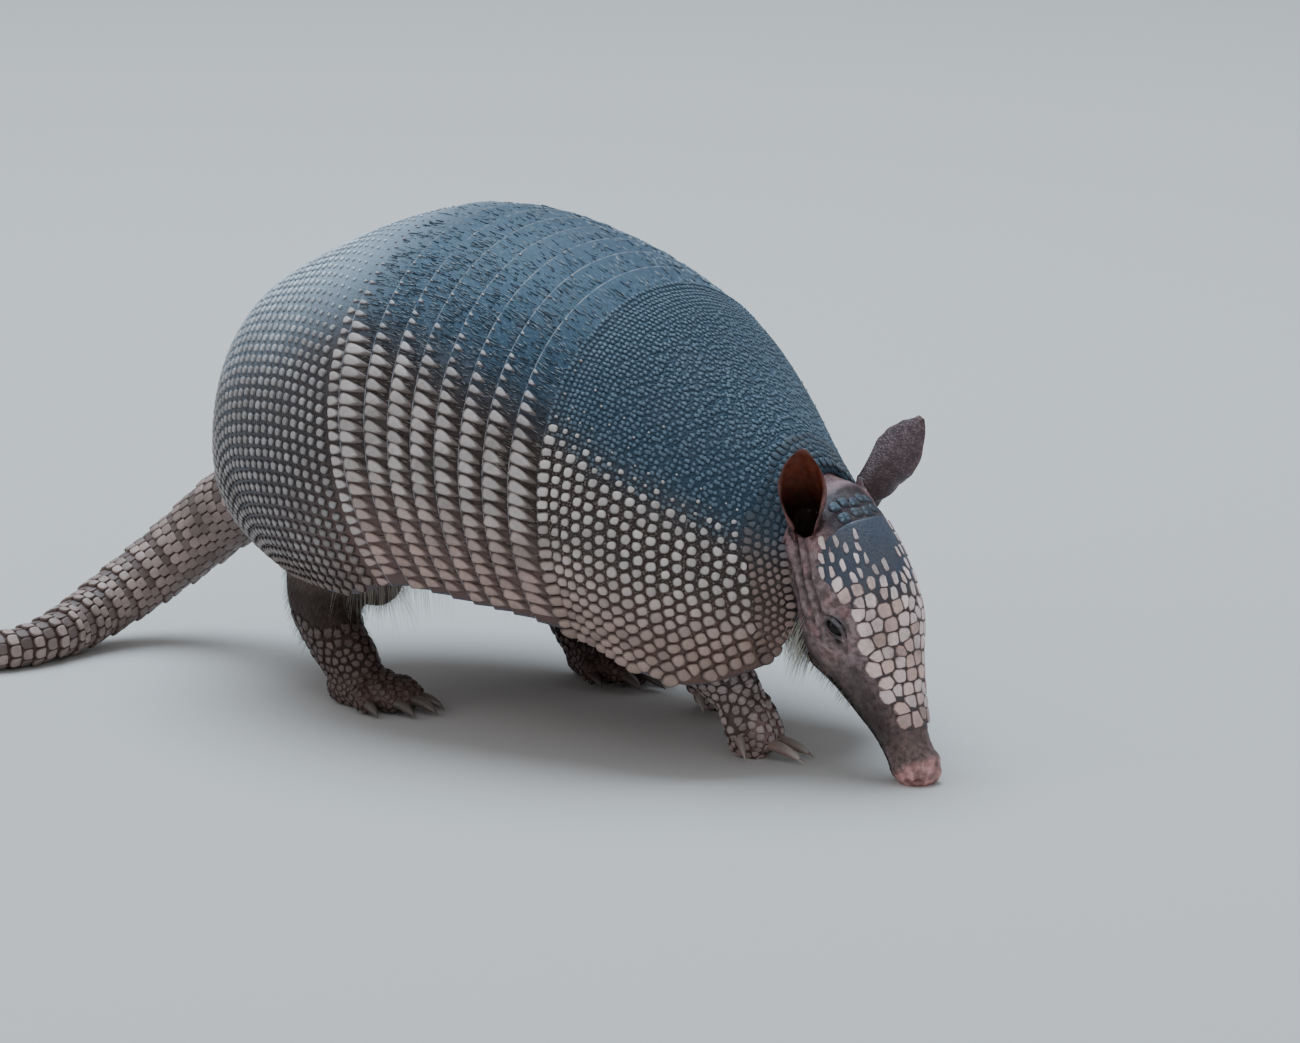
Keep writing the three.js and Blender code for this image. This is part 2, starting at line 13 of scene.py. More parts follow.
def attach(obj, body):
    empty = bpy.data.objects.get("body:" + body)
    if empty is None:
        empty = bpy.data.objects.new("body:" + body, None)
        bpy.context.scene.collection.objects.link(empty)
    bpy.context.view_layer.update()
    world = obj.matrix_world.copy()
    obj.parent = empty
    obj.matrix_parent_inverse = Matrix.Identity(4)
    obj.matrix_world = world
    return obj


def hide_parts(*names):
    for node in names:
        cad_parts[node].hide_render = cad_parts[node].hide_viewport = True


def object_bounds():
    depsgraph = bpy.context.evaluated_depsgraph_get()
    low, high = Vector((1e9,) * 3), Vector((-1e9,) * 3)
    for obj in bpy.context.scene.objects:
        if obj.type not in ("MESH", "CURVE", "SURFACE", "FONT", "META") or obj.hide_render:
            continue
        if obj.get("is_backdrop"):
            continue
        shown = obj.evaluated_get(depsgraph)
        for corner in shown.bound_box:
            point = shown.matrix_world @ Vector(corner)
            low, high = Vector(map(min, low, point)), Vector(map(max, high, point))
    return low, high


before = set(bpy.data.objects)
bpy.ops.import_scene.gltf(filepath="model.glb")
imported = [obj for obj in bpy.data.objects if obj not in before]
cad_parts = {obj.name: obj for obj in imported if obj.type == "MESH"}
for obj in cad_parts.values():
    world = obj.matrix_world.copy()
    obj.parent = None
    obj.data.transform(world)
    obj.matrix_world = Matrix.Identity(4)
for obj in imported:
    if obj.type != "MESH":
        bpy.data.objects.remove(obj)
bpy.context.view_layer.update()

# ----------------------------------------------------------
# Camera: a long lens a little above the animal's back height, looking from its right front,
# so that the near flank and the lowered head show together.

CAMERA_PLACE = Vector((1.94600, -2.04133, 0.65875))
CAMERA_RIGHT = Vector((0.7547, 0.6561, 0.0))
CAMERA_UP = Vector((-0.1364, 0.1569, 0.9781))
CAMERA_BACK = Vector((0.6417, -0.7382, 0.2079))

lens = bpy.data.cameras.new("long_lens")
lens.lens = 210
lens.sensor_width = 36
lens.clip_end = 100


def in_scene(name, data):
    """A new object of the scene."""
    item = bpy.data.objects.new(name, data)
    bpy.context.scene.collection.objects.link(item)
    return item


camera = in_scene("camera", lens)
camera.matrix_world = Matrix.Translation(CAMERA_PLACE) @ Matrix(
    (CAMERA_RIGHT, CAMERA_UP, CAMERA_BACK)).transposed().to_4x4()
bpy.context.scene.camera = camera

# ----------------------------------------------------------
# Studio: a pale seamless floor under a broad overhead softbox, like a bright overcast sky,
# with a low fill from the camera's side so that the legs and throat don't go black.


def plain_material(name, color, roughness):
    material = bpy.data.materials.new(name)
    material.use_nodes = True
    shader = material.node_tree.nodes["Principled BSDF"]
    shader.inputs["Base Color"].default_value = (*color, 1)
    shader.inputs["Roughness"].default_value = roughness
    return material


def soft_light(name, place, aim, size, power, color):
    data = bpy.data.lights.new(name, "AREA")
    data.shape = "DISK"
    data.size = size
    data.energy = power
    data.color = color
    lamp = in_scene(name, data)
    lamp.location = place
    lamp.rotation_mode = "QUATERNION"
    lamp.rotation_quaternion = (Vector(aim) - Vector(place)).to_track_quat("-Z", "Y")


def mesh_of(name, shape):
    """A mesh from a finished bmesh."""
    mesh = bpy.data.meshes.new(name)
    shape.to_mesh(mesh)
    shape.free()
    return mesh


FLOOR_HALF = 20.0
floor_shape = bmesh.new()
bmesh.ops.create_grid(floor_shape, x_segments=2, y_segments=2, size=FLOOR_HALF)
floor_mesh = mesh_of("studio_floor", floor_shape)
floor_mesh.materials.append(plain_material("seamless_floor", (0.62, 0.61, 0.60), 0.9))
floor = in_scene("studio_floor", floor_mesh)
floor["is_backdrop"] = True

for light in [
    # name, place, aim, width in metres, watts, colour
    ("sky_softbox", (-0.6, 0.5, 2.6), (0.0, 0.0, 0.1), 2.4, 88, (0.72, 0.87, 1.0)),
    ("front_fill", (2.4, -2.2, 1.6), (0.05, 0.0, 0.08), 2.2, 13, (1.0, 0.965, 0.93)),
    ("side_fill", (-2.0, -2.6, 1.4), (0.0, 0.0, 0.08), 2.2, 10, (1.0, 0.97, 0.94)),
]:
    soft_light(*light)

sky = bpy.data.worlds.new("pale_sky")
sky.use_nodes = True
sky_light = sky.node_tree.nodes["Background"].inputs
sky_light["Color"].default_value = (0.80, 0.84, 0.88, 1)
sky_light["Strength"].default_value = 0.55
bpy.context.scene.world = sky

# ----------------------------------------------------------
# Shell plates: two shields and eight movable bands of bone under thin horn. The shields are
# fixed to the shoulders and the hips; each band's rear margin overlaps the next one's front.

MM = 0.001
SHELL_PLACE = np.array([149.67408, 25.27229, 0.0])  # where the shell's own axes stand, mm

# Cross sections from front to back: t, x, z, lean, half width, rise, drop, sweep.
# The scapular shield covers t 0 to 3, each band one unit, and the pelvic shield 11 to 17.
SHELL_SECTIONS = np.array([
    [0, 94, 61, 19, 26, 64, 35, -20],
    [1.2, 32, 76, 4, 65.5, 79, 79.5, 48],
    [3, 9, 89.5, 2, 75, 77, 78.5, 9],
    [7, -34, 97, 3, 84, 85, 81, 15],
    [11, -75, 102, 10, 88, 85, 88, 10],
    [13, -105, 89.5, 23, 86, 86, 83.5, 6],
    [15, -137.5, 77.5, 33, 73, 77, 67.5, 2],
    [16.5, -173.5, 65.5, 37.5, 45, 39, 36, 0],
    [17, -186, 61.5, 40, 20.5, 20.5, 20.5, 0],
])
SHELL_EDGE = 122.0  # degrees round from the spine to the shell's lower edge
SHIELD_BACK, RUMP_FRONT, RUMP_BACK = 3.0, 11.0, 17.0  # t where the shields end and start
SHELL_BED = 0.7  # mm that the plates lie below the scutes' tops
BAND_COUNT = 8
NAPE_REACH, NAPE_DROP = 10.0, 11.0  # mm that the shoulder shield runs out and down over the nape

# Where the dark back gives way to the pale flank, in degrees round from the spine.
BACK_EDGE = np.array([[0, 71], [0.4, 70], [1, 66], [2, 63], [3, 62], [5.7, 60], [8, 58],
                      [10.3, 55], [11.3, 50], [12.6, 44], [14, 38], [17, 32]])


def size_at(table, column, t):
    """A size from a table of sections at t, smooth from section to section."""
    at, value = table[:, 0], table[:, column]
    t = np.asarray(t, float)
    i = np.clip(np.searchsorted(at, t, side="right") - 1, 0, len(at) - 2)

    def slope(k):
        a, b = np.maximum(k - 1, 0), np.minimum(k + 1, len(at) - 1)
        return (value[b] - value[a]) / (at[b] - at[a])

    span = at[i + 1] - at[i]
    f = (t - at[i]) / span
    rise = value[i + 1] - value[i]
    first, last = slope(i) * span, slope(i + 1) * span
    return value[i] + f * (first + f * (3 * rise - 2 * first - last + f * (first + last - 2 * rise)))


def smooth(value, low, high):
    """From 0 below low to 1 above high."""
    share = np.clip((np.asarray(value, float) - low) / (high - low), 0, 1)
    return share * share * (3 - 2 * share)


def fall(value, low, high):
    """From 1 below low to 0 above high."""
    return 1 - smooth(value, low, high)


def shell_point(t, around, out):
    """Points of the shell in metres: t along it, degrees round from the spine, mm outwards."""
    x, z, lean, half, rise, drop, sweep = (size_at(SHELL_SECTIONS, k, t) for k in range(1, 8))
    angle, lean = np.radians(around), np.radians(lean)
    up = np.cos(angle) * (np.where(np.cos(angle) > 0, rise, drop) + out)
    forward = sweep * ((1 - np.cos(angle)) / 2) ** 2
    nape = fall(t, 0, 1.5) * smooth(np.cos(angle), 0.3, 0.95)
    point = np.stack(np.broadcast_arrays(
        x - np.sin(lean) * up + forward + NAPE_REACH * nape, np.sin(angle) * (half + out),
        z + np.cos(lean) * up - NAPE_DROP * nape), -1)
    return (point + SHELL_PLACE) * MM


def unit(vectors):
    return vectors / np.maximum(np.linalg.norm(vectors, axis=-1, keepdims=True), 1e-12)


def below_back(t, around):
    """Degrees that a place lies below the dark back's edge, less than 0 on the back."""
    further = 9 * (np.asarray(around) > 0) * fall(t, 9, 12)
    return np.abs(around) - np.interp(t, BACK_EDGE[:, 0], BACK_EDGE[:, 1]) - further


def back_shade(t, around):
    """1 on the dark back, 0 on the pale flank."""
    # On the pelvic scutes this mask also carries the rump's painted sky sheen.
    return smooth(-below_back(t, around) / (12 + 12 * smooth(t, 11, 13.5)), -1, 1)


def rim_shade(around):
    """1 along the shell's lower edge, 0 above it."""
    return smooth(np.abs(around), 84, 112)


def vertex_places(mesh):
    places = np.empty(len(mesh.vertices) * 3)
    mesh.vertices.foreach_get("co", places)
    return places.reshape(-1, 3)


def write_marks(mesh, marks, name="marks"):
    """A colour attribute: per vertex, four masks that the materials read."""
    attribute = mesh.color_attributes.new(name, "FLOAT_COLOR", "POINT")
    attribute.data.foreach_set("color", np.asarray(marks, np.float32).ravel())


def write_map(mesh, name, places):
    """A UV map from one place per vertex."""
    corners = np.empty(len(mesh.loops), np.int32)
    mesh.loops.foreach_get("vertex_index", corners)
    layer = mesh.uv_layers.new(name=name)
    layer.data.foreach_set("uv", np.asarray(places, np.float32)[corners].ravel())


def add_piece(name, mesh, replaced=()):
    mesh.polygons.foreach_set("use_smooth", [True] * len(mesh.polygons))
    piece = in_scene(name, mesh)
    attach(piece, "root")
    if replaced:
        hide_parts(*replaced)
    return piece


def sheet_between(name, rows, columns, place):
    """A closed plate: place(u, v, w) moves a grid and its underside, u and v from 0 to 1 and w
    1 on the outside and 0 inside. Returns the mesh and each vertex's u, v and w."""
    shape = bmesh.new()
    bmesh.ops.create_grid(shape, x_segments=rows, y_segments=columns, size=0.5)
    grown = bmesh.ops.extrude_face_region(shape, geom=shape.faces[:])
    for item in grown["geom"]:
        if isinstance(item, bmesh.types.BMVert):
            item.co.z = 1
    places = np.array([v.co[:] for v in shape.verts])
    u, v, w = places[:, 0] + 0.5, places[:, 1] + 0.5, places[:, 2]
    moved = place(u, v, w)
    for vertex, co in zip(shape.verts, moved):
        vertex.co = co
    bmesh.ops.recalc_face_normals(shape, faces=shape.faces[:])
    return mesh_of(name, shape), u, v, w


def scapular_edge(t):
    return SHELL_EDGE - 18 * np.maximum(0, 1 - t / 0.36) ** 2


def pelvic_edge(t):
    return SHELL_EDGE + 14 * smooth(t, 14.5, 17)


def band_edge(t):
    return SHELL_EDGE


UNROLLED_STEP = 0.0165  # metres along the unrolled shell for one unit of t


def arc_map(t, around):
    """Places on the unrolled shell: metres back from the neck and metres round."""
    half = size_at(SHELL_SECTIONS, 4, t)
    return np.stack([t * UNROLLED_STEP, np.radians(around) * half * MM], -1)


def shell_plate(name, t_from, t_to, rows, edge, lift, thick, replaced):
    """One plate; lift(u) is how far its outside stands off the shell's surface, in mm."""
    def spot(u, v):
        t = t_from + (t_to - t_from) * u
        return t, edge(t) * (2 * v - 1)

    mesh, u, v, _ = sheet_between(name, rows, PLATE_COLUMNS, lambda u, v, w: shell_point(
        *spot(u, v), lift(u) - thick * (1 - w)))
    t, around = spot(u, v)
    margin = smooth(u, 0.955, 0.995)
    # Painted sky sheen: a mask over the top of the rump, which the ground turns pale blue.
    rump = (smooth(t, 9.6, 12.6) * fall(np.abs(around), 30, 66)
            * (1 - 0.6 * smooth(t, 13.0, 16.5)))
    write_marks(mesh, np.stack([back_shade(t, around), margin, rump, rim_shade(around)], -1))
    write_map(mesh, "Shell", arc_map(t, around))
    return add_piece(name, mesh, replaced)


PLATE_COLUMNS = 220
PLATE_THICK, BAND_THICK = 2.2, 1.3  # mm
BAND_TUCK = 0.14  # how far a band's front lies under the one before it, in units of t
BAND_STEP = 1.5  # mm that a band's rear margin stands over the next one
BAND_SINK = 0.6  # mm that a band's front margin lies below the shields

plates = [shell_plate(
    "scapular_plate", 0.0, SHIELD_BACK, 72, scapular_edge,
    lambda u: -SHELL_BED + 0.9 * smooth(u, 0.86, 1.0) - 1.2 * fall(u, 0.0, 0.03),
    PLATE_THICK, ["scapular_shield"])]
for i in range(BAND_COUNT):
    start = SHIELD_BACK + i
    plates.append(shell_plate(
        f"band_plate_{i + 1}", start - BAND_TUCK, start + 1.0, 24, band_edge,
        lambda u: -SHELL_BED - BAND_SINK + BAND_STEP * u, BAND_THICK, [f"band_{i + 1}"]))
plates.append(shell_plate(
    "pelvic_plate", RUMP_FRONT - BAND_TUCK, RUMP_BACK, 110, pelvic_edge,
    lambda u: -SHELL_BED - BAND_SINK * fall(u, 0.0, 0.05) - 0.5 * smooth(u, 0.97, 1.0),
    PLATE_THICK, ["pelvic_shield"]))


class Nodes:
    """Adds nodes to a tree, with their settings, inputs and links."""

    def __init__(self, tree):
        self.tree = tree
        self.body = None

    def add(self, kind, settings=None, **inputs):
        node = self.tree.nodes.new(kind)
        for key, value in (settings or {}).items():
            setattr(node, key, value)
        for key, value in inputs.items():
            self.put(node.inputs[key.replace("_", " ")], value)
        return node

    def put(self, socket, value):
        if isinstance(value, bpy.types.NodeSocket):
            self.tree.links.new(value, socket)
        else:
            socket.default_value = value

    def math(self, operation, a, b, clamp=False):
        node = self.add("ShaderNodeMath", {"operation": operation, "use_clamp": clamp})
        self.put(node.inputs[0], a)
        self.put(node.inputs[1], b)
        return node.outputs[0]

    def mix(self, share, a, b, blend="MIX"):
        node = self.add("ShaderNodeMix", {"data_type": "RGBA", "blend_type": blend})
        self.put(node.inputs[0], share)
        for socket, color in ((6, a), (7, b)):
            plain = not isinstance(color, bpy.types.NodeSocket)
            self.put(node.inputs[socket], (*color, 1) if plain else color)
        return node.outputs[2]

    def ramp(self, value, low, high):
        """From 0 at low to 1 at high."""
        return self.add("ShaderNodeMapRange", {"interpolation_type": "SMOOTHSTEP"}, Value=value,
                        From_Min=low, From_Max=high).outputs[0]

    def masks(self):
        """The four masks of the colour attribute."""
        attribute = self.add("ShaderNodeAttribute", {"attribute_name": "marks"})
        split = self.add("ShaderNodeSeparateColor", Color=attribute.outputs["Color"])
        return (*split.outputs, attribute.outputs["Alpha"])

    def noise(self, place, scale, detail=3.0, rough=0.55):
        return self.add("ShaderNodeTexNoise", Vector=place, Scale=scale, Detail=detail,
                        Roughness=rough).outputs[0]

    def cells(self, place, scale):
        """Distance to the borders of small cells."""
        return self.add("ShaderNodeTexVoronoi", {"feature": "DISTANCE_TO_EDGE"}, Vector=place,
                        Scale=scale).outputs["Distance"]

    def times(self, a, b):
        return self.math("MULTIPLY", a, b)

    def scaled(self, value, by, plus):
        return self.math("ADD", self.times(value, by), plus)

    def minus_from_one(self, value):
        return self.math("SUBTRACT", 1.0, value)

    def grey(self, shade):
        return self.add("ShaderNodeCombineColor", Red=shade, Green=shade, Blue=shade).outputs[0]

    def on_body(self):
        """Object coordinates, which every material's noise and cells read."""
        if self.body is None:
            self.body = self.add("ShaderNodeTexCoord").outputs["Object"]
        return self.body

    def wear(self, base, dust, amount):
        """The grime group over a colour: its colour, roughness and height."""
        worn = self.add("ShaderNodeGroup", {"node_tree": grime}, Place=self.on_body(), Base=base,
                        Dust=(*dust, 1), Amount=amount)
        return worn.outputs["Color"], worn.outputs["Roughness"], worn.outputs["Height"]

    def bump(self, shader, height, strength, distance):
        self.put(shader.inputs["Normal"], self.add(
            "ShaderNodeBump", Height=height, Strength=strength, Distance=distance).outputs[0])


def new_material(name):
    material = bpy.data.materials.new(name)
    material.use_nodes = True
    return material, Nodes(material.node_tree), material.node_tree.nodes["Principled BSDF"]


def horn_grime():
    """Worn, dusty horn: a film of dust in blotches, uneven colour and fine pits."""
    group = bpy.data.node_groups.new("horn_grime", "ShaderNodeTree")
    for way, sockets in (("INPUT", (("Place", "Vector"), ("Base", "Color"), ("Dust", "Color"),
                                    ("Amount", "Float"))),
                         ("OUTPUT", (("Color", "Color"), ("Roughness", "Float"), ("Height", "Float")))):
        for name, kind in sockets:
            group.interface.new_socket(name, in_out=way, socket_type="NodeSocket" + kind)
    n = Nodes(group)
    given = group.nodes.new("NodeGroupInput").outputs
    made = group.nodes.new("NodeGroupOutput")
    broad = n.noise(given["Place"], 55.0)
    fine = n.noise(given["Place"], 900.0, 2.0)
    film = n.math("MULTIPLY", n.ramp(broad, 0.46, 0.68), given["Amount"], clamp=True)
    dusty = n.mix(film, given["Base"], given["Dust"])
    n.put(made.inputs["Color"], n.mix(1.0, dusty, n.grey(n.scaled(fine, 0.5, 0.75)), "MULTIPLY"))
    n.put(made.inputs["Roughness"], n.scaled(film, 0.2, n.scaled(fine, 0.16, 0.40)))
    n.put(made.inputs["Height"], fine)
    return group


def shell_ground(name, striped):
    """The plates' dark horn: slate on the back, its blue a painted sky reflection, brown on the
    flank, and a painted pale blue sky sheen on the rump. The shields carry a fine net, the
    bands streaks along the body and a pale line on the margin."""
    material, n, shader = new_material(name)
    back, margin, rump, rim = n.masks()
    place = n.add("ShaderNodeUVMap", {"uv_map": "Shell"}).outputs[0]
    body = n.on_body()
    flank = n.mix(rim, (0.024, 0.014, 0.012), (0.115, 0.062, 0.050))
    # On the back, the blue of the dark horn and of its pale lines is a painted sky reflection.
    base = n.mix(back, flank, (0.022, 0.041, 0.068) if striped else (0.018, 0.031, 0.048))
    # Painted sky sheen: the rump's top is mixed towards pale blue.
    base = n.mix(n.times(rump, 0.85), base, (0.44, 0.53, 0.62))
    # Fine light lines: streaks of bristle along the bands, a net of cells on the shields.
    if striped:
        stretched = n.add("ShaderNodeMapping", Vector=place, Scale=(260.0, 3400.0, 1.0)).outputs[0]
        height = n.noise(stretched, 1.0, 2.0, 0.6)
        light = n.ramp(height, 0.50, 0.72)
    else:
        cells = n.cells(body, 760.0)
        light = n.minus_from_one(n.ramp(cells, 0.0, 0.14))
        height = n.ramp(cells, 0.0, 0.3)
    pale = n.mix(back, (0.13, 0.095, 0.082), (0.15, 0.215, 0.285))
    strength = n.times(light, n.scaled(back, 0.55 if striped else -0.12, 0.30))
    base = n.mix(strength, base, pale)
    if striped:
        broken = n.ramp(n.noise(body, 420.0, 2.0), 0.36, 0.56)
        base = n.mix(n.times(margin, n.times(broken, 0.85)), base, (0.40, 0.39, 0.40))
    color, rough, _ = n.wear(base, (0.16, 0.17, 0.18), 0.10)
    n.put(shader.inputs["Base Color"], color)
    n.put(shader.inputs["Roughness"], rough)
    shader.inputs["Sheen Weight"].default_value = 0.30
    shader.inputs["Sheen Roughness"].default_value = 0.40
    shader.inputs["Sheen Tint"].default_value = (0.42, 0.70, 1.0, 1)
    n.put(shader.inputs["Specular Tint"], n.mix(back, (1.0, 0.86, 0.80), (0.45, 0.76, 1.0)))
    n.bump(shader, height, 0.55, 0.00035)
    return material


grime = horn_grime()
shield_ground = shell_ground("shield_ground", False)
band_ground = shell_ground("band_ground", True)
for plate in plates:
    plate.data.materials.append(band_ground if plate.name.startswith("band") else shield_ground)

# ----------------------------------------------------------
# Scapular scutes: domed horny studs in rows that keep their distance from the first band, with
# closer rows along the neck and tiny dark tubercles between. On the back only fine grain is
# left, with a few pale dots; along the lower rim the scutes crowd together like shingles.

CHANCE = np.random.default_rng(9)
tones = lambda count: CHANCE.uniform(0, 1, count)
ROW_STEPS = 180
ACROSS_STEPS = 241


def stud_template(sides, rings):
    """A closed stud: a fan in the middle, rings round it and a flat underside. Returns its
    faces, and each vertex's ring (0 in the middle) and side."""
    shape = bmesh.new()
    bmesh.ops.create_circle(shape, cap_ends=True, cap_tris=True, segments=sides, radius=1)
    for ring in range(1, rings):
        border = [e for e in shape.edges if e.is_boundary]
        grown = bmesh.ops.extrude_edge_only(shape, edges=border)
        moved = [item for item in grown["geom"] if isinstance(item, bmesh.types.BMVert)]
        bmesh.ops.scale(shape, vec=((ring + 1) / ring,) * 2 + (1,), verts=moved)
    bmesh.ops.contextual_create(shape, geom=[e for e in shape.edges if e.is_boundary])
    places = np.array([v.co[:] for v in shape.verts])
    ring = np.rint(np.hypot(places[:, 0], places[:, 1])).astype(int)
    side = np.rint(np.arctan2(places[:, 1], places[:, 0]) / (2 * np.pi) * sides).astype(int) % sides
    faces = [[v.index for v in face.verts] for face in shape.faces]
    shape.free()
    return faces, ring, side


FLOOR_GAP = 0.00005  # metres between the lowest parts and the floor
BAKE_PATCH = 0.0014  # half the width of one stud's patch on the unrolled body


def lay_studs(name, slot, seats, outlines, heights, rings, marks, roots, fade=None):
    """Joins one stud per seat. Seats are centre, forward, across and outward; outlines are
    (stud, side, 2) in metres, forward and across; rings are (size, height share, skirt in
    metres); roots are places on the unrolled body; fade darkens each side of the outline, and
    for the teeth it darkens the front tip and paints a shadow along the lower edge."""
    centres, forward, across, outward = seats
    count, sides = outlines.shape[:2]
    faces, ring, side = stud_template(sides, len(rings))
    rings = np.array([(0.0, rings[0][1], 0.0)] + list(rings))
    flat = outlines[:, side] * rings[ring, 0][None, :, None]
    rise = heights[:, None] * rings[ring, 1] + rings[ring, 2]
    places = (centres[:, None] + flat[..., :1] * forward[:, None] + flat[..., 1:] * across[:, None]
              + rise[..., None] * outward[:, None])
    places[..., 2] = np.maximum(places[..., 2], FLOOR_GAP)
    size = len(ring)
    mesh = bpy.data.meshes.new(name)
    mesh.from_pydata(places.reshape(-1, 3), [],
                     [[i * size + k for k in face] for i in range(count) for face in faces])
    tidy = bmesh.new()
    tidy.from_mesh(mesh)
    bmesh.ops.recalc_face_normals(tidy, faces=tidy.faces[:])
    tidy.to_mesh(mesh)
    tidy.free()
    edge_share = rings[ring, 0] ** 2
    if fade is not None:
        edge_share = np.clip(edge_share + fade[side] * rings[ring, 0], 0, 1)
    all_marks = np.repeat(np.asarray(marks, float)[:, None], size, axis=1)
    all_marks[..., 1] = edge_share
    write_marks(mesh, all_marks.reshape(-1, 4))
    reach = np.linalg.norm(outlines, axis=-1).max(axis=1)[:, None, None]
    patch = outlines[:, side] / reach * (0.25 + 0.75 * ring / ring.max())[None, :, None]
    write_map(mesh, "OFBake", (roots[:, None] + patch * BAKE_PATCH).reshape(-1, 2))
    return add_piece(name, mesh)


def middle_arc(line):
    """Distances in mm along a line of places, counted both ways from its middle."""
    arc = np.append(0, np.cumsum(np.linalg.norm(np.diff(line, axis=0), axis=-1)))
    return arc - arc[len(line) // 2]


END_GAP = 0.4  # steps that a row keeps clear of the shell's lower edge


def rows_on_shell(t_first, t_last, edge, rows, pitch, wander, clear=0.0):
    """Places of rows round the shell: t, degrees round and row. Each row keeps its distance in
    mm from the margin at t_first, and stops where it comes nearer to t_last than clear.
    Neighbouring rows stand half a step apart."""
    share = np.linspace(-1, 1, ACROSS_STEPS)
    t = np.linspace(t_first, t_last, ROW_STEPS)
    lines = shell_point(t[:, None], edge(t)[:, None] * share, 0.0) / MM
    run = np.vstack([np.zeros(ACROSS_STEPS),
                     np.cumsum(np.linalg.norm(np.diff(lines, axis=0), axis=-1), axis=0)])
    columns = np.arange(ACROSS_STEPS)
    found = []
    for row, distance in enumerate(rows):
        at = np.array([np.interp(distance, run[:, c], t) for c in columns])
        arc = middle_arc(shell_point(at, edge(at) * share, 0.0) / MM)
        shift = row % 2 / 2
        steps = np.arange(math.ceil(arc[0] / pitch - shift),
                          math.floor(arc[-1] / pitch - shift) + 1)
        spots = (steps + shift + CHANCE.uniform(-wander, wander, len(steps))) * pitch
        column = np.interp(spots, arc, columns)
        room = np.interp(column, columns, run[-1]) - distance
        end = END_GAP * pitch
        spots = spots[(room > clear) & (spots > arc[0] + end) & (spots < arc[-1] - end)]
        t_spot = np.interp(spots, arc, at) + CHANCE.uniform(-wander, wander, len(spots)) * 0.2
        found.append(np.stack([t_spot, edge(t_spot) * np.interp(spots, arc, share),
                               np.full(len(spots), row)], -1))
    return np.concatenate(found)


def outward_of(centre, forward, turn, outer):
    """The way out of a surface, square to two ways along it; outer lies outside it."""
    outward = unit(np.cross(forward, turn))
    return outward * np.sign(np.sum(outward * (outer - centre), -1, keepdims=True))


def shell_axes(t, around, lift):
    """Centre, forward, towards the spine and outward at places of the shell. lift(t) is in mm."""
    centre = shell_point(t, around, lift(t))
    step = 0.02
    forward = unit(shell_point(t - step, around, lift(t - step))
                   - shell_point(t + step, around, lift(t + step)))
    turn = shell_point(t, around + 0.3, lift(t)) - shell_point(t, around - 0.3, lift(t))
    outward = outward_of(centre, forward, turn, shell_point(t, around, 5.0))
    across = np.cross(outward, forward)
    across *= np.sign(np.sum(across * -turn * np.sign(around)[:, None], -1, keepdims=True))
    return centre, forward, across, outward


def cell_outlines(centre, forward, across, sides, widest, sharp, near=12):
    """Each stud's own cell among its nearest neighbours, as an outline in its tangent plane; the
    higher sharp is, the less rounded are its corners."""
    apart = np.linalg.norm(centre[:, None] - centre[None], axis=-1)
    np.fill_diagonal(apart, 1e9)
    nearest = np.argpartition(apart, near, axis=1)[:, :near]
    ways = centre[nearest] - centre[:, None]
    flat = np.stack([np.einsum("ijk,ik->ij", ways, forward),
                     np.einsum("ijk,ik->ij", ways, across)], -1)
    angle = np.arange(sides) / sides * 2 * np.pi
    rays = np.stack([np.cos(angle), np.sin(angle)], -1)
    pull = np.einsum("ijk,sk->ijs", flat, rays) * 2 / np.sum(flat ** 2, -1)[..., None]
    reach = np.maximum(np.sum(np.maximum(pull, 0) ** sharp, axis=1), 1e-9) ** (-1 / sharp)
    reach = np.minimum(reach, widest)
    return reach[..., None] * rays


def roughened(outlines, amount):
    """Outlines made a little irregular, corner by corner, yet still round."""
    dents = CHANCE.normal(0, amount, outlines.shape[:2])
    dents = (dents + np.roll(dents, 1, axis=1)) * 0.7
    return outlines * (1 + dents)[..., None]


def pick(choice, *arrays):
    return [array[choice] for array in arrays]


def shell_roots(t, around):
    """Places on the unrolled shell for the bake map."""
    return np.array([0.05, 0.5]) + np.stack([t * 0.05, np.radians(around) * 0.2], -1)


def shell_marks(t, around, tone, low=None):
    """Each scute's masks: back, edge share (set later), its own tone, and lower rim."""
    return np.stack([back_shade(t, around), 0 * t, tone, rim_shade(around) if low is None else low], -1)


STUD_RINGS = [(0.36, 1.0, 0.0), (0.66, 0.87, 0.0), (0.87, 0.58, 0.0), (1.0, 0.14, 0.0),
              (1.0, 0.0, -0.0007)]
SCAPULAR_PITCH = 4.6  # mm from scute to scute round the shell
SCAPULAR_STEP = 4.9  # mm from row to row
NECK_PITCH = 3.1
NECK_ROWS = 5
NECK_DEEP = NECK_PITCH * (NECK_ROWS + 0.35)  # mm that the neck's own rows take up

scapular_bed = lambda t: -SHELL_BED + 0.9 * smooth(t, 2.58, 3.0)
main_rows = rows_on_shell(SHIELD_BACK, 0.0, scapular_edge, 2.9 + SCAPULAR_STEP * np.arange(26),
                          SCAPULAR_PITCH, 0.09, NECK_DEEP)
neck_rows = rows_on_shell(0.0, SHIELD_BACK, scapular_edge, NECK_PITCH * (0.55 + np.arange(NECK_ROWS)),
                          NECK_PITCH, 0.06)
spots = np.concatenate([main_rows, neck_rows])
by_neck = np.arange(len(spots)) >= len(main_rows)
t, around = spots[:, 0], spots[:, 1]
seats = shell_axes(t, around, scapular_bed)
rim, below = rim_shade(around), below_back(t, around)
tone = tones(len(t))
WIDEST_SCUTE = 0.0036  # metres from a scute's middle to its edge, at most
cells = cell_outlines(*seats[:3], 12, WIDEST_SCUTE, 6.0)
marks = shell_marks(t, around, tone)
roots = shell_roots(t, around)

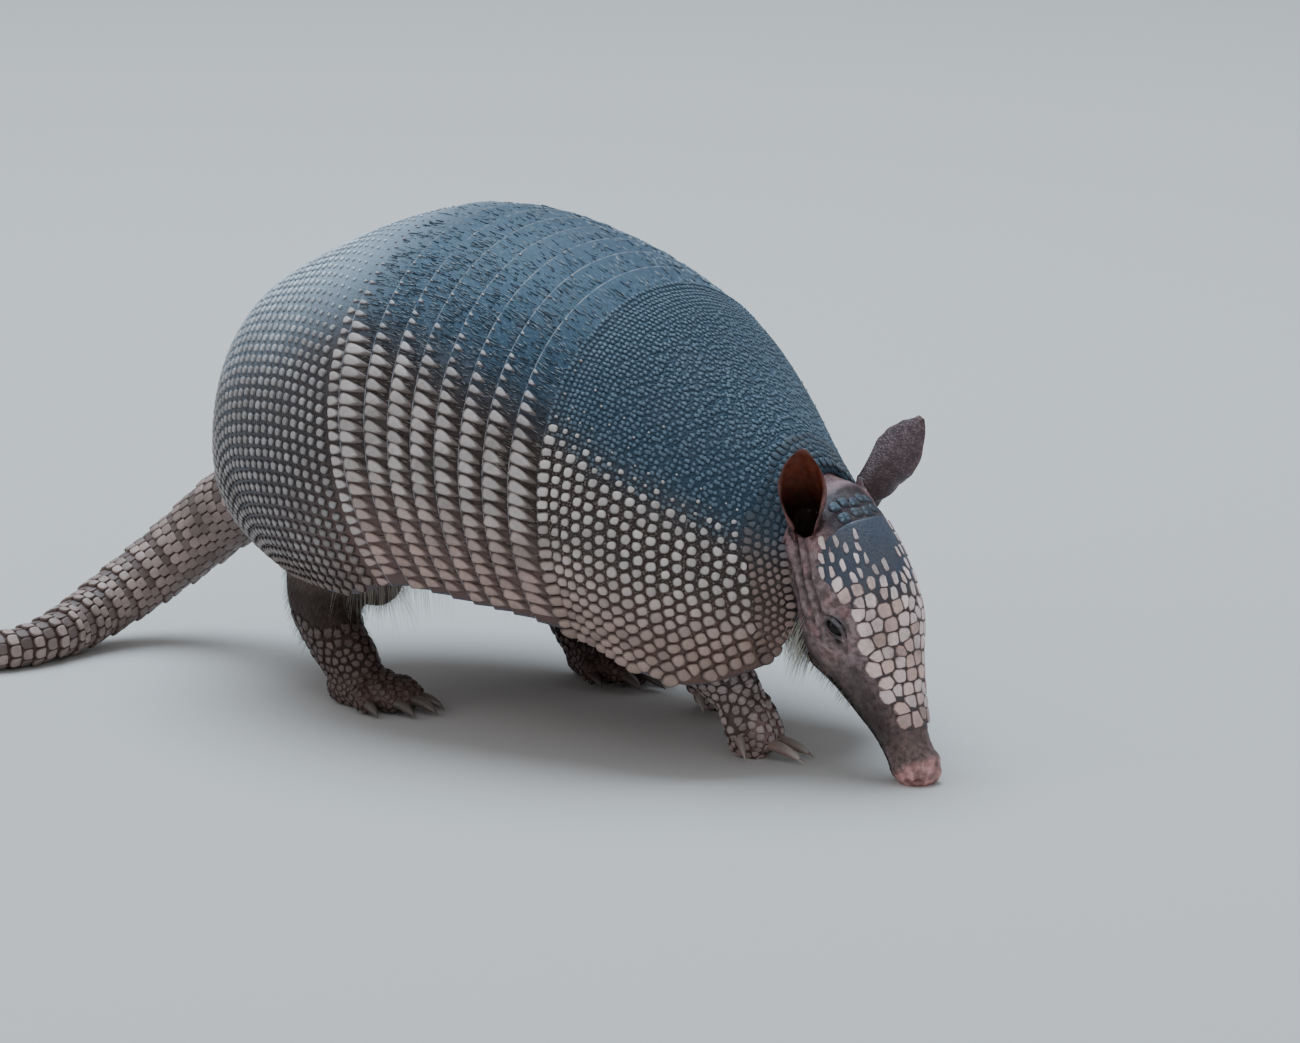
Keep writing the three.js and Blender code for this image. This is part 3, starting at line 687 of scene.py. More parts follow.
# Share of its cell that a scute fills: rounded and apart on the flank, close along the rim.
fill = 0.79 + 0.13 * smooth(np.abs(around), 82, 108)
fill = fill * (0.26 + 0.74 * smooth(below + 6 * (tone - 0.5), -8, 8))
pale = ~by_neck & (below > -4 - 22 * tone ** 0.6 * (tones(len(t)) < 0.6))
cells[:, :, 0] *= (1 + 0.22 * smooth(np.abs(around), 88, 112))[:, None]
scutes = roughened(cells * (fill * CHANCE.uniform(0.93, 1.05, len(t)))[:, None, None], 0.045)


def lean_studs(seats, lean):
    """Seats whose studs lean forwards, so that each one's rear edge stands proud."""
    centre, forward, across, outward = seats
    outward = unit(outward + np.reshape(lean, (-1, 1)) * forward)
    forward = unit(forward - np.sum(forward * outward, -1, keepdims=True) * outward)
    return centre, forward, across, outward


leaning = lean_studs(seats, 0.10 + 0.22 * rim)
height = (0.55 + 0.75 * fill + 0.15 * tone) * MM
scapular_scutes = lay_studs(
    "scapular_scutes", "shell", pick(pale, *leaning), scutes[pale], height[pale], STUD_RINGS,
    *pick(pale, marks, roots))
neck_scutes = cells * (0.84 * CHANCE.uniform(0.93, 1.05, len(t)))[:, None, None]
scapular_neck_scutes = lay_studs(
    "scapular_neck_scutes", "shell", pick(by_neck, *leaning), roughened(neck_scutes[by_neck], 0.03),
    (0.50 + 0.20 * smooth(below[by_neck], -20, 10)) * MM, STUD_RINGS, *pick(by_neck, marks, roots))

# Tubercles: a grain of tiny studs over all of the shield that the scutes leave free.

SHIELD_LONG = 110  # mm, at most, from the first band to the neck
GRAIN_PITCH = 1.22  # mm
GRAIN_SIDES = 5
GRAIN_RINGS = [(0.62, 1.0, 0.0), (1.0, 0.0, -0.0003)]
ngon_angle = np.arange(GRAIN_SIDES) / GRAIN_SIDES * 2 * np.pi
NGON = np.stack([np.cos(ngon_angle), np.sin(ngon_angle)], -1)


def nearest_apart(places, centres):
    """Distance from each place to its nearest centre, and which centre that is."""
    apart, which = np.empty(len(places)), np.empty(len(places), int)
    for start in range(0, len(places), 2000):
        some = slice(start, start + 2000)
        gaps = np.linalg.norm(places[some, None] - centres[None], axis=-1)
        which[some] = gaps.argmin(axis=1)
        apart[some] = gaps.min(axis=1)
    return apart, which


def lay_grain(name, pitch, wander, small, large, outline, rings, high, wanted):
    """Small studs in rows over the shoulder shield, wherever they are wanted and no scute is."""
    distances = 0.9 + pitch * np.arange(int(SHIELD_LONG / pitch))
    spots = rows_on_shell(SHIELD_BACK, 0.0, scapular_edge, distances, pitch, wander, NECK_DEEP)
    t, around = spots[:, 0], spots[:, 1]
    apart, which = nearest_apart(shell_point(t, around, scapular_bed(t)), pale_centres)
    keep = (apart > pale_widths[which] * 0.97 + small / 2 * MM) & wanted(below_back(t, around))
    t, around = pick(keep & (np.abs(around) < 108), t, around)
    size = CHANCE.uniform(small, large, len(t)) * MM
    lines = size[:, None, None] * outline * (1 + CHANCE.normal(0, 0.10, (len(t), len(outline), 1)))
    marks = shell_marks(t, around, tones(len(t)))
    return lay_studs(name, "shell", shell_axes(t, around, scapular_bed), lines, size * high, rings,
                     marks, shell_roots(t, around))


pale_centres = seats[0][pale]
pale_widths = np.linalg.norm(scutes[pale], axis=-1).mean(axis=1)
PEBBLE_RINGS = [(0.6, 1.0, 0.0), (0.9, 0.5, 0.0), (1.0, 0.0, -0.0003)]
PEBBLE = np.array([(1.15, 0.0), (0.75, 0.72), (0.0, 0.98), (-0.75, 0.72), (-1.1, 0.0), (-0.75, -0.72),
                   (0.0, -0.98), (0.75, -0.72)])
scapular_grain = [
    lay_grain("scapular_tubercles", GRAIN_PITCH, 0.30, 0.34, 0.66, NGON, GRAIN_RINGS, 0.75,
              lambda below: below >= 2),
    lay_grain("scapular_back_grain", 2.0, 0.13, 0.78, 0.98, PEBBLE, PEBBLE_RINGS, 0.42,
              lambda below: below < 3)]


def scute_horn(name, pale_color, low_color, back_color, edge_color, dust=0.35, joint_from=0.40,
               back_gloss=(0.50, 0.78, 1.0)):
    """Pale horn, darker towards each scute's edge, pinkish brown on the lower rim."""
    material, n, shader = new_material(name)
    back, edge, tone, rim = n.masks()
    base = n.mix(back, n.mix(rim, pale_color, low_color), back_color)
    base = n.mix(1.0, base, n.grey(n.scaled(tone, 0.40, 0.80)), "MULTIPLY")
    color, rough, pits = n.wear(base, (0.13, 0.10, 0.085), dust)
    joint = n.times(n.ramp(edge, joint_from, 1.0), 0.85)
    n.put(shader.inputs["Base Color"], n.mix(joint, color, edge_color))
    n.put(shader.inputs["Roughness"], rough)
    n.put(shader.inputs["Specular Tint"], n.mix(back, (1.0, 1.0, 1.0), back_gloss))
    n.bump(shader, n.math("ADD", pits, n.noise(n.on_body(), 1500.0, 3.0, 0.65)), 0.4, 0.0002)
    return material


# The blue in the back colours is a painted sky reflection on dark horn.
for piece, horn in [
    # name, flank, lower rim, back, edge, then how dusty and how far out the edge starts
    (scapular_scutes, ("scapular_scute_horn", (0.54, 0.485, 0.455), (0.36, 0.25, 0.21),
                       (0.46, 0.44, 0.44), (0.060, 0.036, 0.030))),
    (scapular_neck_scutes, ("scapular_neck_horn", (0.22, 0.155, 0.135), (0.23, 0.150, 0.125),
                            (0.060, 0.080, 0.102), (0.035, 0.026, 0.026))),
    (scapular_grain[0], ("tubercle_horn", (0.150, 0.118, 0.108), (0.20, 0.13, 0.11),
                         (0.10, 0.12, 0.14), (0.016, 0.012, 0.011), 0.1)),
    (scapular_grain[1], ("back_grain_horn", (0.110, 0.115, 0.120), (0.075, 0.080, 0.090),
                         (0.100, 0.142, 0.185), (0.016, 0.026, 0.038), 0.1, 0.25)),
]:
    piece.data.materials.append(scute_horn(*horn))

# ----------------------------------------------------------
# Band scutes: one row of long triangular teeth on each band, upright on its rear margin and
# running out forwards to a low point; on the back they shrink to flecks along the margin, and
# fine bristles and streaks of horn lie along the body between them.

TOOTH = np.array([(-1.0, 0.0), (-1.0, 0.50), (-0.93, 0.84), (-0.74, 1.0), (-0.44, 0.90), (-0.08, 0.62),
                  (0.30, 0.30), (0.66, -0.06), (0.94, -0.40), (1.0, -0.62), (0.88, -0.82),
                  (0.50, -0.93), (0.0, -1.0), (-0.50, -1.02), (-0.86, -0.94), (-1.0, -0.52)])
TOOTH_MIDDLE = np.array([-0.34, -0.16])
TOOTH_PITCH = 4.8
TOOTH_LENGTH = 0.98  # of the width of its band
TOOTH_RINGS = [(0.34, 1.0, 0.0), (0.66, 0.84, 0.0), (0.88, 0.50, 0.0), (1.0, 0.10, 0.0),
               (1.0, 0.0, -0.0006)]
# Darker towards each tooth's front tip, and a painted shadow gap along its lower edge.
tooth_dark_and_shadow = 0.75 * smooth(TOOTH[:, 0], -0.1, 1.0) + 0.25 * smooth(-TOOTH[:, 1], 0.5, 1.0)


def tooth_size(t, around, tone):
    """Share of full size: whole on the flank, small ovals and then flecks on the back."""
    below = below_back(t, around) + 8 * (tone - 0.5)
    return 0.15 + 0.17 * smooth(below, -20, -2) + 0.68 * smooth(below, -9, 15)


def row_on_margin(t_margin, pitch, offset):
    """Degrees round the shell of evenly spaced places along a plate's rear margin."""
    share = np.linspace(-1, 1, ACROSS_STEPS)
    arc = middle_arc(shell_point(t_margin, SHELL_EDGE * share, 0.0) / MM)
    steps = np.arange(math.ceil(arc[0] / pitch), math.floor(arc[-1] / pitch) + 1)
    spots = (steps + offset) * pitch
    spots = spots[np.abs(spots) < arc[-1] - 2.2]
    return SHELL_EDGE * np.interp(spots, arc, share) + CHANCE.normal(0, 0.2, len(spots))


def band_lift(band):
    """How far a band's outside stands off the shell's surface at t, in mm."""
    start = SHIELD_BACK + band
    return lambda t: -SHELL_BED - BAND_SINK + BAND_STEP * (t - start + BAND_TUCK) / (1 + BAND_TUCK)


tooth_rows = []
for i in range(BAND_COUNT):
    t_margin = SHIELD_BACK + 1 + i
    around = row_on_margin(t_margin, TOOTH_PITCH, CHANCE.uniform(0, 1))
    tone = CHANCE.uniform(0, 1, len(around))
    share = tooth_size(t_margin, around, tone)
    keep = below_back(t_margin, around) > -10 - 42 * CHANCE.uniform(0, 1, len(around)) ** 1.6
    width = np.linalg.norm(shell_point(t_margin, around, 0) - shell_point(t_margin - 1, around, 0),
                           axis=-1)
    long = TOOTH_LENGTH * share * CHANCE.uniform(0.90, 1.08, len(around))
    tall = TOOTH_PITCH * MM * 0.99 * share ** 0.80
    t_centre = t_margin - 0.012 - long / 2 * (1 + TOOTH_MIDDLE[0])
    tooth_rows.append(np.stack([t_centre, around, long * width / 2, tall / 2, tone,
                                np.full(len(around), i)], -1)[keep])
teeth = np.concatenate(tooth_rows)
t, around, band = teeth[:, 0], teeth[:, 1], teeth[:, 5]
seats = lean_studs(shell_axes(t, around, band_lift(band)), 0.03)
outlines = roughened((TOOTH - TOOTH_MIDDLE)[None] * teeth[:, None, 2:4], 0.03)
band_scutes = lay_studs(
    "band_scutes", "band", seats, outlines, (0.35 + 0.60 * np.minimum(teeth[:, 2] / 0.004, 1)) * MM,
    TOOTH_RINGS, shell_marks(t, around, teeth[:, 4]), shell_roots(t, around), tooth_dark_and_shadow)
band_horn = scute_horn("band_scute_horn", (0.48, 0.425, 0.405), (0.42, 0.285, 0.245),
                       (0.42, 0.42, 0.44), (0.075, 0.042, 0.034))
band_scutes.data.materials.append(band_horn)

# Bristles and streaks: thin slivers along the body, thickest where the teeth give way.

SLIVER = np.array([(1.0, 0.0), (0.0, 1.0), (-1.0, 0.0), (0.0, -1.0)])
SLIVER_RINGS = [(1.0, 1.0, 0.0), (1.0, 0.0, -0.0003)]
SLIVER_COUNT = 13000
band = CHANCE.integers(0, BAND_COUNT, SLIVER_COUNT)
t = SHIELD_BACK + band + CHANCE.uniform(0.02, 0.90, SLIVER_COUNT)
around = CHANCE.uniform(-118, 118, SLIVER_COUNT)
thick_here = 0.22 + 0.78 * np.exp(-(below_back(t, around) / 30) ** 2)
keep = CHANCE.uniform(0, 1, SLIVER_COUNT) < thick_here
band, t, around = pick(keep, band, t, around)
seats = shell_axes(t, around, band_lift(band))
turn = CHANCE.normal(-0.06, 0.13, len(t))[:, None]
seats = (seats[0], seats[1] * np.cos(turn) + seats[2] * np.sin(turn),
         seats[2] * np.cos(turn) - seats[1] * np.sin(turn), seats[3])
long = CHANCE.uniform(0.6, 2.3, len(t)) * MM
thin = CHANCE.uniform(0.05, 0.12, len(t)) * MM
outlines = SLIVER[None] * np.stack([long, thin], -1)[:, None]
marks = shell_marks(t, around, tones(len(t)))
band_streaks = lay_studs(
    "band_streaks", "band", seats, outlines, CHANCE.uniform(0.15, 0.42, len(t)) * MM, SLIVER_RINGS,
    marks, shell_roots(t, around))


def streak_horn():
    """Slivers from black through brown to pale straw."""
    material, n, shader = new_material("streak_horn")
    back, _, tone, _ = n.masks()
    # On the back both colours are tinted blue: a painted sky reflection.
    dark = n.mix(back, (0.030, 0.024, 0.022), (0.022, 0.038, 0.060))
    light = n.mix(back, (0.30, 0.255, 0.22), (0.27, 0.33, 0.385))
    share = n.ramp(n.math("ADD", tone, n.times(back, 0.25)), 0.35, 0.95)
    n.put(shader.inputs["Base Color"], n.mix(share, dark, light))
    shader.inputs["Roughness"].default_value = 0.45
    return material


band_streaks.data.materials.append(streak_horn())

# ----------------------------------------------------------
# Pelvic scutes: small close beads of horn in rows behind the last band, the first row long
# and toothed like the bands'. They go on over the rump, whose horn is painted pale blue there
# as a sky sheen.

PELVIC_STEP = 4.9
PELVIC_PITCH = 4.5
PELVIC_FIRST_ROW = 8.2

distances = np.concatenate([[PELVIC_FIRST_ROW / 2 - 0.6],
                            PELVIC_FIRST_ROW + PELVIC_STEP * (0.45 + np.arange(44))])
spots = rows_on_shell(RUMP_FRONT, RUMP_BACK, pelvic_edge, distances, PELVIC_PITCH, 0.06, 1.5)
t, around, row = spots[:, 0], spots[:, 1], spots[:, 2]
pelvic_bed = lambda t: -SHELL_BED + 0 * t
seats = shell_axes(t, around, pelvic_bed)
tone = tones(len(t))
front = fall(t, 11.6, 13.2)
share = 1 - 0.62 * front * fall(below_back(t, around) + 8 * (tone - 0.5), -6, 18)
fill = (0.79 + 0.10 * smooth(np.abs(around), 98, 116)) * share
cells = cell_outlines(*seats[:3], 10, 0.0034, 6.0)
beads = row > 0
marks = shell_marks(t, around, tone, smooth(np.abs(around), 100, 120))
roots = shell_roots(t, around)
pelvic_scutes = lay_studs(
    "pelvic_scutes", "shell", pick(beads, *seats), roughened((cells * fill[:, None, None])[beads], 0.04),
    ((0.45 + 0.75 * fill + 0.12 * tone) * MM)[beads], STUD_RINGS, *pick(beads, marks, roots))
first = row == 0
share = tooth_size(t, around, tone)[first]
tooth = np.stack([PELVIC_FIRST_ROW / 2 * share, PELVIC_PITCH * 0.46 * share ** 0.8], -1) * MM
pelvic_front_scutes = lay_studs(
    "pelvic_front_scutes", "shell", pick(first, *seats),
    roughened((TOOTH - TOOTH_MIDDLE)[None] * tooth[:, None], 0.03),
    (0.35 + 0.6 * share) * MM, TOOTH_RINGS, *pick(first, marks, roots), tooth_dark_and_shadow)
# The back colour, pale blue, is a painted sky sheen on the top of the rump.
pelvic_scutes.data.materials.append(scute_horn(
    "pelvic_scute_horn", (0.31, 0.285, 0.28), (0.20, 0.150, 0.130), (0.70, 0.79, 0.88),
    (0.050, 0.042, 0.042), 0.45))
pelvic_front_scutes.data.materials.append(band_horn)

# ----------------------------------------------------------
# Hide: one skin over trunk, neck, head, ears, legs and tail. It is lofted limb by limb, grown
# together, then given its lids, lips, nostrils, folds and wrinkles.

HEAD_PLACE = np.array([90.6, -3.4, 87.8])
HEAD_TURN = (Matrix.Rotation(math.radians(-2.2), 3, "Z") @ Matrix.Rotation(math.radians(63.7), 3, "Y")
             @ Matrix.Rotation(math.radians(4), 3, "X"))
HEAD_AXES = np.array(HEAD_TURN)  # columns: towards the nose, to the left, to the forehead
# Sections of the head: along, half width, half depth, lift.
HEAD_SECTIONS = np.array([
    [-12, 7, 6, 2], [-8, 14, 12, 1], [0, 18.5, 17, 0], [12.5, 20.5, 22.5, -1.5],
    [26, 21.5, 25, -2.6], [40, 21, 24, -3.5], [53, 16.5, 18, -2.4], [66, 12.4, 13.4, -1.8],
    [76, 9.8, 10.4, -1.2], [84, 8.6, 8.9, -1.3], [90, 8.9, 9.2, -0.4], [95.5, 8.2, 8.0, 0.5],
    [99.5, 4.8, 4.6, 1.0],
])
HEAD_FROM, HEAD_TO = -12, 99.5

NECK_PATH = [(54, 0, 82, 36, 38), (71, -0.5, 81, 29, 35), (84, -1, 75, 23.5, 29), (94, -2, 69, 21, 26),
             (102, -2.5, 65, 16, 19)]
TAIL_PATH = [(-171, 0, 75.5, 15.5), (-189, 0, 66, 15.3), (-214, -2, 52.5, 14.7), (-229, -8, 39, 13.6),
             (-239, -19, 27.5, 12.6), (-245, -36, 17.5, 11.4), (-245, -58, 10.6, 9.7),
             (-243, -81, 7.9, 8), (-250, -103, 6.7, 6.9), (-276, -123, 5.8, 6), (-312, -132.5, 5, 5.2),
             (-350, -135, 4.1, 4.3), (-392, -132, 3.1, 3.2), (-438, -116, 1.7, 1.8)]
BELLY_SAG = np.array([[0, -16], [1.5, -8], [4, 5], [9, 9], [14, 5], [17, 0]])

# Legs in their own foot's axes: forward, outwards, up, then half width and half depth.
FORE_LEG = {
    "turn": 0,
    "path": [(-12, 15, 66, 13, 16), (-16, 15, 50, 12.5, 15), (-9, 8, 36, 10.5, 12), (-2, 2, 25, 9.6, 9.8),
             (3, 0, 15, 9.4, 8)],
    "palm": [(-3, 0, 7, 6, 7), (4, 0, 6.6, 7.6, 8), (12, 0, 4.7, 7.6, 5.7)],
    # out, start, rise, reach, splay, girth, low, claw, pitch
    "digits": [(8.6, 0, 21, 4, 22, 3.8, 8.6, 10, 55), (3.2, 3, 21, 11, 4, 5, 5, 16, 8),
               (-3.4, 3, 21, 10, -4, 4.9, 5, 15, 8), (-8.4, 0, 19, 5, -20, 3.7, 7.4, 9, 42)],
}
HIND_LEG = {
    "turn": 20,
    "path": [(-19, -12, 62, 9, 33), (-21, -8, 49, 12.5, 40), (-23, -2, 38, 12.5, 21), (-19, 0, 27, 11, 14),
             (-9, 0, 14, 10, 12.5), (-5, 0, 7, 9.5, 10)],
    "palm": [(-18, 0, 5.7, 7.5, 6), (-4, 0, 7.3, 10, 8.5), (10, 0, 5.6, 11.5, 6.3)],
    "digits": [(10, 0, 8, 9, 22, 3.9, 3.4, 8, 10), (5.2, 6, 9, 11, 9, 4.5, 3.9, 11, 5),
               (0, 7, 9, 12.5, 0, 4.8, 4.1, 12, 5), (-5.2, 6, 9, 11, -9, 4.5, 3.9, 11, 5),
               (-10, -2, 8, 8, -20, 3.8, 3.3, 7.5, 10)],
}
FEET = [("fore_leg_right", FORE_LEG, -1, 56, -14, 10), ("fore_leg_left", FORE_LEG, 1, -3, 36, -6),
        ("hind_leg_right", HIND_LEG, -1, -97, -47, 4), ("hind_leg_left", HIND_LEG, 1, -60, 45, -6)]


def head_point(along, around, out=0.0, radius=1.0):
    """Points of the head in metres: mm along it, degrees round from the forehead's middle."""
    side, deep, lift = (size_at(HEAD_SECTIONS, k, np.clip(along, HEAD_FROM, HEAD_TO)) for k in (1, 2, 3))
    angle = np.radians(around)
    local = np.stack(np.broadcast_arrays(
        along, -np.sin(angle) * (side + out) * radius, lift + np.cos(angle) * (deep + out) * radius), -1)
    return (local @ HEAD_AXES.T + HEAD_PLACE + SHELL_PLACE) * MM


def head_coordinates(places):
    """The inverse: mm along the head, degrees round it, and how far out as a share."""
    local = (places / MM - SHELL_PLACE - HEAD_PLACE) @ HEAD_AXES
    side, deep, lift = (size_at(HEAD_SECTIONS, k, np.clip(local[:, 0], -12, 99)) for k in (1, 2, 3))
    y, z = -local[:, 1] / side, (local[:, 2] - lift) / deep
    return local[:, 0], np.degrees(np.arctan2(y, z)), np.hypot(y, z)


def through_points(points, f):
    """A smooth curve through points, f from 0 to 1 over their count."""
    points = np.asarray(points, float)
    before, after = 2 * points[0] - points[1], 2 * points[-1] - points[-2]
    hull = np.vstack([before, points, after])
    place = np.clip(f, 0, 1) * (len(points) - 1)
    i = np.minimum(place.astype(int), len(points) - 2)
    w = (place - i)[:, None]
    p0, p1, p2, p3 = (hull[i + k] for k in range(4))
    d0, d1, d2 = (np.linalg.norm(b[:, :3] - a[:, :3], axis=1)[:, None] ** 0.5
                  for a, b in ((p0, p1), (p1, p2), (p2, p3)))
    m1 = ((p1 - p0) / d0 - (p2 - p0) / (d0 + d1) + (p2 - p1) / d1) * d1
    m2 = ((p2 - p1) / d1 - (p3 - p1) / (d1 + d2) + (p3 - p2) / d2) * d1
    return p1 + w * (m1 + w * ((3 * (p2 - p1) - 2 * m1 - m2) + w * (m1 + m2 - 2 * (p2 - p1))))


def rounded(f, blunt):
    """The girth of a round-ended limb as a share: 1 in the middle, 0 at both ends."""
    return np.maximum(1 - np.abs(2 * f - 1) ** blunt, 0) ** (1 / blunt)


def rod_places(path, front, angle, f, blunt, grow=0.0):
    """Points of a round-ended limb: path rows are x, y, z, half width and half depth in mm."""
    path = np.asarray(path, float)
    if path.shape[1] == 4:
        path = np.column_stack([path, path[:, 3]])
    here = through_points(path[:, :3], f)
    ahead, behind = (through_points(path[:, :3], np.clip(f + d, 0, 1)) for d in (0.002, -0.002))
    tangent = unit(ahead - behind)
    table = np.column_stack([np.arange(len(path)), path])
    end = rounded(f, blunt)
    side = size_at(table, 4, f * (len(path) - 1)) * end
    deep = size_at(table, 5, f * (len(path) - 1)) * end
    side, deep = side + grow * np.minimum(end * 3, 1), deep + grow * np.minimum(end * 3, 1)
    deep_axis = unit(front - np.sum(front * tangent, -1, keepdims=True) * tangent)
    side_axis = np.cross(deep_axis, tangent)
    here = here + (np.sin(angle) * side)[:, None] * side_axis + (np.cos(angle) * deep)[:, None] * deep_axis
    return (here + SHELL_PLACE) * MM


def add_ball(shape, sides, rings, place):
    """Adds a ball whose vertices go to place(angle, f): round it, and from end to end."""
    made = bmesh.ops.create_uvsphere(shape, u_segments=sides, v_segments=rings, radius=1)["verts"]
    flat = np.array([v.co[:] for v in made])
    angle, f = np.arctan2(flat[:, 1], flat[:, 0]), np.clip((1 + flat[:, 2]) / 2, 0, 1)
    for vertex, co in zip(made, place(angle, f)):
        vertex.co = co


def add_rod(shape, path, front, sides, rings, blunt=5, grow=0.0):
    front = np.array(front, float)
    add_ball(shape, sides, rings, lambda angle, f: rod_places(path, front, angle, f, blunt, grow))


def in_foot(foot, forward, out, up):
    _, _, side, x, y, heading = foot
    turn = math.radians(heading)
    return (x + forward * math.cos(turn) - out * side * math.sin(turn),
            y + forward * math.sin(turn) + out * side * math.cos(turn), up)


def foot_path(foot, rows):
    return [(*in_foot(foot, *row[:3]), *row[3:]) for row in rows]


def digit_rows(foot, digit):
    """A toe's path and its claw's, from the foot's own numbers."""
    out, start, rise, reach, splay, girth, low, claw, pitch = digit
    turn, dip = math.radians(splay), math.radians(pitch)

    def spot(forward, up):
        return in_foot(foot, start + forward * math.cos(turn), out + forward * math.sin(turn), up)

    toe = [(*spot(0, rise), girth * 1.05, girth * 1.1),
           (*spot(reach * 0.55, (rise + low) / 2), girth, girth),
           (*spot(reach, low), girth * 0.82, girth * 0.86)]
    root, tip = low + 0.2 * girth, 0.24 * girth
    nail = []
    for part, side, deep in ((-0.3, 0.56, 0.5), (0.35, 0.5, 0.46), (0.75, 0.32, 0.32), (1, 0.15, 0.2)):
        behind = min(part, 0) * claw * math.sin(dip)
        up = root + (tip - root) * max(part, 0) ** 1.7 - behind
        nail.append((*spot(reach + part * claw * math.cos(dip), up), girth * side, girth * deep))
    return toe, nail


def trunk_places(angle, f):
    """The trunk inside the shell, closed below by the belly."""
    t = 16.1 + (0.9 - 16.1) * f
    rim, rim_share = SHELL_EDGE - 2, 0.72
    share = np.abs(angle) / np.pi
    sign = np.where(angle < 0, -1.0, 1.0)
    inset = -4.5
    point = shell_point(t, sign * rim * np.minimum(share / rim_share, 1), inset) / MM
    inward = np.clip((share - rim_share) / (1 - rim_share), 0, 1)
    edge = shell_point(t, sign * rim, inset) / MM
    below = share > rim_share
    across = SHELL_PLACE[1] + (edge[:, 1] - SHELL_PLACE[1]) * (1 - inward)
    belly = edge[:, 2] - size_at(BELLY_SAG, 1, t) * (1 - (1 - inward) ** 2)
    point[:, 1] = np.where(below, across, point[:, 1])
    point[:, 2] = np.where(below, belly, point[:, 2])
    middle = (shell_point(t, 0, 0) * 0.45 + shell_point(t, 180, 0) * 0.55) / MM
    return (middle + (point - middle) * rounded(f, 10)[:, None]) * MM


SKIN_VOXEL = 0.00115  # the grown-together hide's grid, in metres
body = bmesh.new()
add_ball(body, 96, 72, trunk_places)
add_rod(body, NECK_PATH, (0, 0, 1), 48, 32)
add_ball(body, 64, 96, lambda angle, f: head_point(
    HEAD_FROM + (HEAD_TO - HEAD_FROM) * f, np.degrees(angle), -0.2, rounded(f, 18)))
add_rod(body, TAIL_PATH, (0, 0, 1), 32, 160, 40, -0.3)
for foot in FEET:
    name, leg, side, x, y, heading = foot
    facing = math.radians(heading + side * leg["turn"])
    add_rod(body, foot_path(foot, leg["path"]), (math.cos(facing), math.sin(facing), 0), 36, 40, 5, -0.3)
    add_rod(body, foot_path(foot, leg["palm"]), (0, 0, 1), 28, 20, 5, -0.2)
    for digit in leg["digits"]:
        add_rod(body, digit_rows(foot, digit)[0], (0, 0, 1), 20, 16, 5, -0.1)
body_mesh = mesh_of("hide", body)


def after_modifiers(mesh, *settings, hidden=()):
    """The mesh with modifiers applied, each given as its kind and values; the vertices in
    hidden make up a group of that name."""
    holder = in_scene("shaping", mesh)
    if len(hidden):
        holder.vertex_groups.new(name="hidden").add(hidden, 1.0, "REPLACE")
    for kind, values in settings:
        modifier = holder.modifiers.new(kind.lower(), kind)
        for key, value in values.items():
            setattr(modifier, key, value)
    graph = bpy.context.evaluated_depsgraph_get()
    made = bpy.data.meshes.new_from_object(holder.evaluated_get(graph))
    bpy.data.objects.remove(holder)
    return made


RELAX_ROUNDS, RELAX_SHARE = 4, 0.5


def relaxed(places, edges):
    """Places evened out towards their neighbours."""
    a, b = edges.T
    count = len(places)
    degree = np.maximum(np.bincount(edges.ravel(), minlength=count), 1)[:, None]
    for _ in range(RELAX_ROUNDS):
        total = np.stack([np.bincount(a, places[b, k], count) + np.bincount(b, places[a, k], count)
                          for k in range(3)], -1)
        places = places + RELAX_SHARE * (total / degree - places)
    return places


def mesh_edges(mesh):
    edges = np.empty(len(mesh.edges) * 2, np.int32)
    mesh.edges.foreach_get("vertices", edges)
    return edges.reshape(-1, 2)


def vertex_normals(mesh):
    normals = np.empty(len(mesh.vertices) * 3)
    mesh.vertex_normals.foreach_get("vector", normals)
    return normals.reshape(-1, 3)


HIDDEN_OVER_RIM, HIDDEN_BEHIND_FRONT, HIDDEN_TO = 6, 12, -172  # mm


def deep_in_shell(places):
    """Vertices that the shell hides for good, away from its openings."""
    local = places / MM - SHELL_PLACE
    rim = shell_point(np.linspace(0, RUMP_BACK, 120), 120, 0) / MM - SHELL_PLACE
    order = np.argsort(rim[:, 0])
    front = shell_point(0, np.linspace(0, 120, 60), 0) / MM - SHELL_PLACE
    rise = np.argsort(front[:, 2])
    over = local[:, 2] - np.interp(local[:, 0], rim[order, 0], rim[order, 2])
    behind = np.interp(local[:, 2], front[rise, 2], front[rise, 0]) - local[:, 0]
    return (over > HIDDEN_OVER_RIM) & (behind > HIDDEN_BEHIND_FRONT) & (local[:, 0] > HIDDEN_TO)


# The hidden trunk is thinned, and the soles are cut flat where they rest on the floor.
HIDDEN_LOST = 0.965  # share of the hidden trunk's faces that go
body_mesh = after_modifiers(body_mesh, ("REMESH", {"mode": "VOXEL", "voxel_size": SKIN_VOXEL}))
thin = deep_in_shell(vertex_places(body_mesh))
thinning = {"vertex_group": "hidden", "ratio": 1 - HIDDEN_LOST * thin.mean()}
body_mesh = after_modifiers(body_mesh, ("DECIMATE", thinning), hidden=np.nonzero(thin)[0].tolist())
body_mesh.vertices.foreach_set("co", relaxed(vertex_places(body_mesh), mesh_edges(body_mesh)).ravel())

cut = bmesh.new()
cut.from_mesh(body_mesh)
bmesh.ops.bisect_plane(cut, geom=cut.verts[:] + cut.edges[:] + cut.faces[:], dist=1e-6,
                       plane_co=(0, 0, FLOOR_GAP), plane_no=(0, 0, 1), clear_inner=True)
bmesh.ops.holes_fill(cut, edges=[e for e in cut.edges if e.is_boundary], sides=0)
bmesh.ops.triangulate(cut, faces=[f for f in cut.faces if len(f.verts) > 4])

